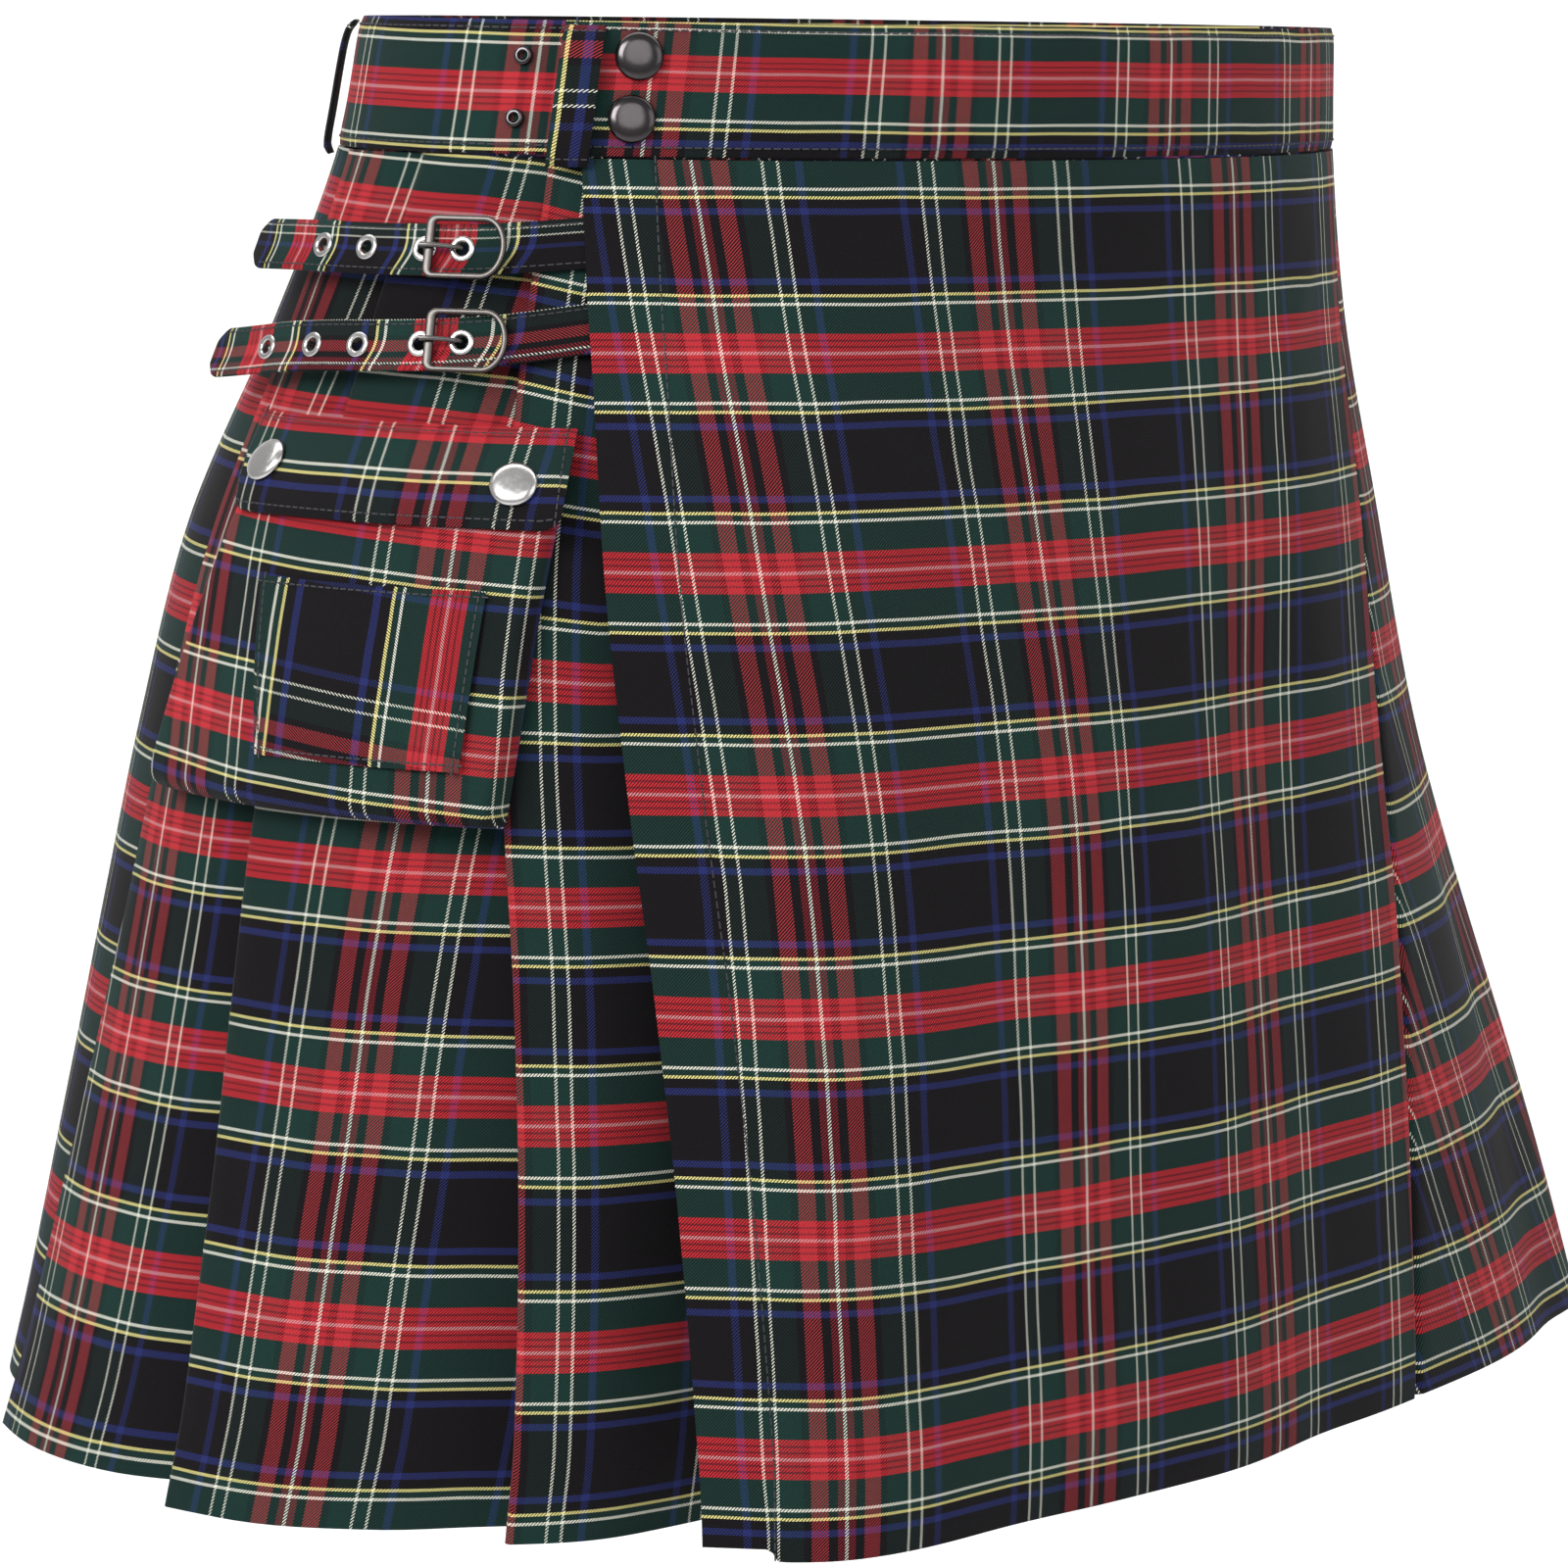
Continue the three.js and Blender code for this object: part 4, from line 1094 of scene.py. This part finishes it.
def buckle_frame():
    """A rounded bar swept round the outline."""
    section = [(0.5 - 0.5 * math.copysign(abs(math.cos(a)) ** 0.6, math.cos(a)),
                0.5 + 0.5 * math.copysign(abs(math.sin(a)) ** 0.6, math.sin(a)))
               for a in np.linspace(0, 2 * math.pi, 16, endpoint=False)]
    loops = []
    for across, up in section:
        line = frame_line(BUCKLE["wire"] * across, BUCKLE["bar"] * across)
        loops.append(np.column_stack([line, np.full(len(line), BUCKLE["thick"] * up)]))
    points = np.concatenate(loops)
    n, m = len(loops[0]), len(loops)
    faces = []
    for k in range(m):
        for i in range(n):
            a, b = k * n + i, k * n + (i + 1) % n
            c, d = ((k + 1) % m) * n + (i + 1) % n, ((k + 1) % m) * n + i
            faces.append([a, b, c, d])
    return points, faces


def prong(reach):
    """A bar from the rear of the frame to the eyelet, gripping the frame's bar."""
    rear = -BUCKLE["length"] / 2
    over = BUCKLE["thick"] + SEAM_GAP + PRONG["thick"] / 2
    path = [(rear - PRONG["grip"], over), (rear + 1, over + 0.15), (rear + BUCKLE["bar"], over),
            (mix(rear, reach, 0.5), mix(over, 1.7, 0.4)), (reach - 2.0, 1.6), (reach - 0.6, 1.2),
            (reach + 0.1, 0.1), (reach + 0.2, -PRONG["dip"])]
    path = np.array(path)
    step = np.gradient(path, axis=0)
    normal = np.stack([-step[:, 1], step[:, 0]], axis=1)
    normal /= np.linalg.norm(normal, axis=1, keepdims=True)
    widths = np.interp(np.arange(len(path)), (0, 2, 6, 7), (1.25, 1.1, 0.9, 0.55))
    sides = 10
    points = []
    for p, n, w in zip(path, normal, widths):
        for a in np.linspace(0, 2 * math.pi, sides, endpoint=False):
            lift = math.sin(a) * PRONG["thick"] / 2 * w
            points.append((p[0] + n[0] * lift, math.cos(a) * PRONG["width"] / 2 * w,
                           p[1] + n[1] * lift))
    faces = [list(range(sides)), list(range(len(points) - sides, len(points)))]
    for k in range(len(path) - 1):
        for i in range(sides):
            j = (i + 1) % sides
            faces.append([k * sides + i, k * sides + j, (k + 1) * sides + j, (k + 1) * sides + i])
    return np.array(points), faces


def buckle(name):
    strap = STRAPS[name]
    clear = STRAP["cloth"] / 2 + EYELET["rise"] + 2 * SEAM_GAP - strap["settle"]
    spot = on_strap(strap, strap["buckle"], clear)
    eyelet, _ = on_strap(strap, strap["eyelets"][0], clear)
    reach = float((eyelet - spot[0]) @ spot[1][0])
    points, faces = buckle_frame()
    frame_piece = fittings(f"kilt_buckle_{name}", [(seated(points, spot), faces)], FRAME_STEEL, 60)
    points, faces = prong(reach)
    prong_piece = fittings(f"kilt_prong_{name}", [(seated(points, spot), faces)], CAST_STEEL, 60)
    return frame_piece, prong_piece


# %% [markdown]
# ## The pocket
# A bellows pocket: its front stands off the hip on folded sides and its mouth is open under a flap
# that is snapped down at both corners. A patch is sewn to its front, with its grain turned.

# %% The pocket
POCKET = {"rear": -93.2, "rear_lean": -3.8, "front": -52.4, "front_lean": -3.6, "top": 160,
          "bottom": 264, "gusset": 3.2, "cloth": 1.8}
PUFF = {"drop": (160, 190, 225, 258), "out": (6, 9, 12, 13)}
PATCH = {"rear": -83.6, "rear_lean": 4, "front": -58.1, "front_lean": -1.1, "top": 187,
         "bottom": 245, "cloth": 1.2}
FLAP = {"rear": -96.5, "rear_lean": 5, "front": -51.6, "front_lean": -0.4, "top": 135,
        "bottom": 167, "cloth": 2, "corner": 4}
FLAP_DOWN = (0, 0.25, 0.55, 0.8, 1)
FLAP_OVER = (0, 0.35, 0.8, 1, 1)
BAG_SHELL = 1.5
POCKET_RED = -62.0
POCKET_RED_DROP = 168
POCKET_TILT = 0.055
FLAP_RED = -64.8
FLAP_RED_DROP = 134
# The patch's red line is this far in from its front edge. Farther in than the first width the
# lines lie closer together. Its other threads are placed from a drop, with a slight tilt.
PATCH_RED = 12
PATCH_EASE = {"from": 29.5, "share": 0.75}
PATCH_DOWN = {"drop": 203.5, "tilt": 0.1, "middle": 38, "share": 0.83}
FLAP_SNAPS = ((-88.7, 151), (-56.9, 153.5))
WAIST_SNAPS = ((-50.8, 11.5), (-50.8, 32.5))
WAIST_STUDS = ((-65.5, 12), (-65.5, 33))


def puff(drop):
    return curve(PUFF["drop"], PUFF["out"], drop)


def skirt_skin(angle, drop):
    return crest(drop) + layer_level(np.asarray(angle, float) + 360)


def fall_of(piece, drop):
    return (drop - piece["top"]) / (piece["bottom"] - piece["top"])


def sides_of(piece, drop):
    """The angles of a pocket piece's rear and front sides, which lean as they fall."""
    fall = fall_of(piece, drop)
    return [piece[side] + piece[side + "_lean"] * fall for side in ("rear", "front")]


def pocket_rest(angle, drop):
    return skirt_skin(angle, drop) + SEAM_GAP + POCKET["cloth"] / 2


def face_of(pocket_angle, drop):
    return pocket_rest(pocket_angle, drop) + puff(drop)


def pocket_bag():
    """The front with its sides and bottom folded back to the skirt."""
    drop = np.concatenate([np.linspace(160, 256, 30), np.linspace(257.5, 264, 8)])[:, None]
    rear, front = sides_of(POCKET, drop)
    side = degrees_for(1, rear, drop)
    reach = POCKET["gusset"] * 2
    steps = np.linspace(0, reach, 8)[None, :]
    middle = mix(rear + side * reach, front - side * reach, np.linspace(0, 1, 60)[None, 1:-1])
    angle = np.concatenate([rear + side * steps, middle, front - side * (reach - steps)], axis=1)
    rise = np.sin(np.pi / 2 * np.clip(steps / reach, 0, 1)) ** 0.8
    share = np.concatenate([rise, np.ones((1, middle.shape[1])), rise[:, ::-1]], axis=1)
    close = np.sqrt(np.clip(1 - (np.clip(drop - 256, 0, 8) / 8) ** 2, 0, 1))
    softness = -0.9 * np.sin(np.pi * np.linspace(0, 1, angle.shape[1]) * 3)[None, :]
    softness = softness * smooth(drop, 175, 230) * share
    level = pocket_rest(angle, drop) + share * close * (puff(drop) + softness * close)
    grid = place(angle, drop, level)
    u = pocket_place(grid, angle, POCKET_RED)
    v = drop - POCKET_RED_DROP - POCKET_TILT * u
    return sheet("kilt_pocket_bag", grid, u, v, BAG_SHELL, thin_edges=False)


def pocket_place(grid, angle, red):
    """Length along each row, counted from the red line's angle."""
    length = along(grid)
    angle = np.broadcast_to(angle, length.shape)
    start = np.array([np.interp(red, a, s) for a, s in zip(angle, length)])
    return length - start[:, None]


def pocket_patch():
    drop = np.linspace(PATCH["top"], PATCH["bottom"], 26)[:, None]
    across = np.linspace(0, 1, 40)[None, :]
    angle = mix(*sides_of(PATCH, drop), across)
    clear = POCKET["cloth"] / 2 + 2 * SEAM_GAP + PATCH["cloth"] / 2
    grid = place(angle, drop, face_of(angle, drop) + clear)
    length = along(grid)
    inward = length[:, -1:] - length
    eased = PATCH_EASE["from"] + (inward - PATCH_EASE["from"]) * PATCH_EASE["share"]
    v = np.where(inward < PATCH_EASE["from"], inward, eased) - PATCH_RED
    tilt = PATCH_DOWN["tilt"] * (inward - PATCH_DOWN["middle"])
    u = REPEAT / 2 + (drop - PATCH_DOWN["drop"] + tilt) / PATCH_DOWN["share"]
    return sheet("kilt_pocket_patch", grid, u, v, PATCH["cloth"])


def flap_level(angle, drop):
    rest = skirt_skin(angle, drop) + 2 * SEAM_GAP + FLAP["cloth"] / 2
    over = curve(FLAP_DOWN, FLAP_OVER, fall_of(FLAP, drop))
    return rest + over * (puff(drop) + POCKET["cloth"] + 2 * SEAM_GAP)


def pocket_flap():
    down = np.linspace(0, 1, 26)[:, None]
    across = np.linspace(0, 1, 76)[None, :]
    row = mix(FLAP["top"], FLAP["bottom"], down)
    angle = mix(*sides_of(FLAP, row), across)
    from_corner = np.minimum(across, 1 - across) * 150
    cut = FLAP["corner"] * np.clip(1 - from_corner / 6, 0, 1) ** 2
    drop = row - cut * down
    grid = place(angle, drop, flap_level(angle, drop) + 0.3 * np.sin(across * 15) * down)
    u = pocket_place(grid, angle, FLAP_RED)
    return sheet("kilt_pocket_flap", grid, u, drop - FLAP_RED_DROP, FLAP["cloth"])


def fasteners(name, profile, size, surface, spots, clear, material):
    """Round caps or studs seated on a surface, as one piece."""
    points, faces = turned([(out * size["radius"], up * size["rise"]) for out, up in profile])
    parts = [(seated(points, seat(surface, a, d, clear)), faces) for a, d in spots]
    return fittings(name, parts, material)


def waist_snaps():
    return fasteners("kilt_waist_snaps", SNAP_PROFILE, SNAP, lambda a, d: layer_level(a),
                     WAIST_SNAPS, SEAM_GAP, DARK_STEEL)


def waist_studs():
    return fasteners("kilt_waist_studs", STUD_PROFILE, STUD, lambda a, d: layer_level(a + 360),
                     WAIST_STUDS, SEAM_GAP, DARK_STEEL)


def flap_snaps():
    return fasteners("kilt_flap_snaps", SNAP_PROFILE, SNAP, flap_level,
                     FLAP_SNAPS, FLAP["cloth"] / 2 + 2 * SEAM_GAP, STEEL)


# %% [markdown]
# ## Stitching
# Seams are what tell a sewn thing from a moulded one. A stitch could be painted, but it would
# vanish from the side, so each is a short piece of thread. Geometry Nodes sets them out along a
# line of points: the line is resampled to the stitch length, and a thread is placed on each point,
# turned along the line.


# %% Stitching
def stitch_group():
    group = bpy.data.node_groups.new("stitches", "GeometryNodeTree")
    for name, kind, way in (
        ("Line", "NodeSocketGeometry", "INPUT"),
        ("Stitch spacing", "NodeSocketFloat", "INPUT"),
        ("Stitch length", "NodeSocketFloat", "INPUT"),
        ("Thread radius", "NodeSocketFloat", "INPUT"),
        ("Thread", "NodeSocketMaterial", "INPUT"),
        ("Stitches", "NodeSocketGeometry", "OUTPUT"),
    ):
        group.interface.new_socket(name, in_out=way, socket_type=kind)
    n = Nodes(group)
    given = n.add("NodeGroupInput").outputs
    curves = n.add("GeometryNodeMeshToCurve", {0: given["Line"]}).outputs[0]
    spaced = n.add("GeometryNodeResampleCurve",
                   {"Curve": curves, "Length": given["Stitch spacing"]}, mode="LENGTH").outputs[0]
    thread = n.add("GeometryNodeMeshCylinder", {
        "Vertices": 6, "Radius": given["Thread radius"], "Depth": given["Stitch length"],
    }).outputs[0]
    tangent = n.add("GeometryNodeInputTangent").outputs[0]
    turn = n.add("FunctionNodeAlignRotationToVector", {"Vector": tangent}, axis="Z").outputs[0]
    placed = n.add("GeometryNodeInstanceOnPoints", {
        "Points": spaced, "Instance": thread, "Rotation": turn,
    }).outputs[0]
    real = n.add("GeometryNodeRealizeInstances", {0: placed}).outputs[0]
    done = n.add("GeometryNodeSetMaterial", {"Geometry": real, "Material": given["Thread"]})
    n.add("NodeGroupOutput", {0: done.outputs[0]})
    return group


STITCH_GROUP = stitch_group()


def stitches(name, lines, spacing=3.4, length=2.5, radius=0.32):
    """Stitches along lines of points, as one plain mesh."""
    mesh = bpy.data.meshes.new(name)
    points, edges = [], []
    for line in lines:
        start = len(points)
        points += (np.asarray(line) * MM).tolist()
        edges += [(i, i + 1) for i in range(start, len(points) - 1)]
    mesh.from_pydata(points, edges, [])
    piece = link(mesh, name)
    modifier = piece.modifiers.new("stitches", "NODES")
    modifier.node_group = STITCH_GROUP
    wanted = {"Stitch spacing": spacing * MM, "Stitch length": length * MM,
              "Thread radius": radius * MM, "Thread": THREADS}
    for item in STITCH_GROUP.interface.items_tree:
        if item.name in wanted:
            modifier[item.identifier] = wanted[item.name]
    return make_plain(piece)


def line_in(runs, inset):
    """The point a set width in from the start of each run of points."""
    line = []
    for run in runs:
        steps = np.linalg.norm(np.diff(run, axis=0), axis=1)
        reach = np.concatenate([[0], np.cumsum(steps)])
        line.append([np.interp(inset, reach, run[:, k]) for k in range(3)])
    return line


def inset_line(grid, inset, out, sides="tblr", trim=0):
    """Lines a set width in from a sheet's top, bottom, left and right edges."""
    lifted = grid + normals_of(grid) * out
    columns = np.swapaxes(lifted, 0, 1)[trim:grid.shape[1] - trim]
    runs = {"t": columns, "b": columns[:, ::-1], "l": lifted, "r": lifted[:, ::-1]}
    return [line_in(runs[side], inset) for side in runs if side in sides]


# %% [markdown]
# ## Put together
# Every piece rides on the one body and stands for its CAD nodes. Each
# sheet states the cut it would be made from.


# %% Put together
CLOTH_SLOT = "tartan_cloth"


def settle(piece, slot, *nodes):
    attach(piece, "root")
    if nodes:
        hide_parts(*nodes)
    return piece


def sewn(piece, nodes, grid, threads=()):
    settle(piece, CLOTH_SLOT, *nodes)
    for thread in threads:
        settle(thread, CLOTH_SLOT)
    declare_sheet(piece, grid)


def build():
    band, band_grid = waistband()
    band_lines = inset_line(band_grid, 3, 1.45, "tb")
    band_lines += inset_line(band_grid, 4, 1.45, "l")
    band_thread = stitches("kilt_waistband_stitches", band_lines)
    sewn(band, ["waistband"], band_grid, [band_thread])

    apron, apron_grid = front_apron()
    strip_thread = stitches("kilt_apron_stitches", inset_line(apron_grid, STRIP, 0.62, "l"))
    sewn(apron, ["front_apron"], apron_grid, [strip_thread])

    lengths = ("pleats_left", "pleats_back", "pleats_right")
    for (piece, grid), node in zip(pleated_length(), lengths):
        sewn(piece, [node], grid)

    under, under_grid = under_apron()
    sewn(under, ["under_apron"], under_grid)

    for i in range(len(LOOP_WRAPS)):
        piece, grid = belt_loop(i)
        lines = inset_line(grid, 3, 0.85, "tb", 1)
        thread = stitches(f"kilt_belt_loop_{i + 1}_stitches", lines, 2.6, 2.0, 0.3)
        sewn(piece, [f"belt_loop_{i + 1}"], grid, [thread])

    for name in STRAPS:
        piece, grid = strap_piece(name)
        lines = inset_line(grid, 2, 1.0, "tb", 8)
        thread = stitches(f"kilt_strap_{name}_stitches", lines, 3.0, 2.2, 0.28)
        sewn(piece, [f"strap_{name}"], grid, [thread])
        rings = [f"eyelet_{name}_{i + 1}" for i in range(len(STRAPS[name]["eyelets"]))]
        settle(eyelets(name), "bright_metal", *rings)
        frame_piece, prong_piece = buckle(name)
        settle(frame_piece, "bright_metal", f"buckle_{name}")
        settle(prong_piece, "dark_metal", f"prong_{name}")

    bag, bag_grid = pocket_bag()
    sewn(bag, ["pocket_bag"], bag_grid)
    patch, patch_grid = pocket_patch()
    patch_lines = inset_line(patch_grid, 2.2, 0.6)
    patch_thread = stitches("kilt_patch_stitches", patch_lines, 3.0, 2.2)
    sewn(patch, ["pocket_patch"], patch_grid, [patch_thread])
    flap, flap_grid = pocket_flap()
    flap_lines = inset_line(flap_grid, 3, 1.0, trim=2)
    flap_thread = stitches("kilt_flap_stitches", flap_lines, 3.0, 2.2)
    sewn(flap, ["pocket_flap"], flap_grid,
         [flap_thread])

    settle(waist_snaps(), "dark_metal", "waist_snap_1", "waist_snap_2")
    settle(waist_studs(), "dark_metal", "waist_stud_1", "waist_stud_2")
    settle(flap_snaps(), "bright_metal", "flap_snap_1", "flap_snap_2")


build()

# %% [markdown]
# ## Stage and light
# A pale sweep of paper goes under and behind the kilt, well clear of its hem. Large soft lamps keep
# the shadows in the folds gentle.

# %% Stage and light
FLOOR = -1.1
SWEEP_START = -7.0
SWEEP_BEND = 2.4
SWEEP_RADIUS = 1.6
SWEEP_TOP = 7.0
SWEEP_REACH = 9
WORLD_STRENGTH = 0.55
HIPS = (0, 0, -0.2)
# name, azimuth, distance, height, size, power, and the point it is aimed at
LAMPS = (
    ("key", -78, 2.5, 1.2, 1.2, 72, HIPS),
    ("fill", 15, 3.0, 0.8, 2.0, 22, HIPS),
    ("front", -40, 3.2, 1.4, 1.6, 26, HIPS),
    ("paper", 140, 0.6, 1.6, 2.4, 60, (1.9, 2.2, -0.4)),
)


def sweep():
    a = math.radians(CAMERA_AZIMUTH)
    ahead = np.array([-math.sin(a), math.cos(a)])
    side = np.array([math.cos(a), math.sin(a)])
    line = [(SWEEP_START, FLOOR), (SWEEP_BEND, FLOOR)]
    for t in np.linspace(0, math.pi / 2, 24)[1:]:
        line.append((SWEEP_BEND + SWEEP_RADIUS * math.sin(t),
                     FLOOR + SWEEP_RADIUS * (1 - math.cos(t))))
    line.append((SWEEP_BEND + SWEEP_RADIUS, SWEEP_TOP))
    points, faces = [], []
    for forward, height in line:
        for reach in (-SWEEP_REACH, SWEEP_REACH):
            spot = ahead * forward + side * reach
            points.append((spot[0] / MM, spot[1] / MM, height / MM))
    for i in range(len(line) - 1):
        faces.append([2 * i, 2 * i + 1, 2 * i + 3, 2 * i + 2])
    paper = plain_material("pale paper", (0.93, 0.93, 0.93), 0.9)
    piece = mesh_object("stage_sweep", np.array(points), faces, None, paper)


def lamp(name, azimuth, distance, height, size, power, aim):
    """A square soft lamp."""
    data = bpy.data.lights.new(name, "AREA")
    data.shape = "SQUARE"
    data.size = size
    data.energy = power
    made = bpy.data.objects.new(name, data)
    bpy.context.scene.collection.objects.link(made)
    a = math.radians(azimuth)
    made.location = (math.sin(a) * distance, -math.cos(a) * distance, height)
    gaze = Vector(aim) - made.location
    made.rotation_euler = gaze.to_track_quat("-Z", "Y").to_euler()


def light():
    world = bpy.data.worlds.new("studio")
    world.use_nodes = True
    background = world.node_tree.nodes["Background"]
    background.inputs["Color"].default_value = (1, 1, 1, 1)
    background.inputs["Strength"].default_value = WORLD_STRENGTH
    bpy.context.scene.world = world
    for row in LAMPS:
        lamp(*row)
    bpy.context.scene.view_settings.view_transform = "Standard"


sweep()
light()
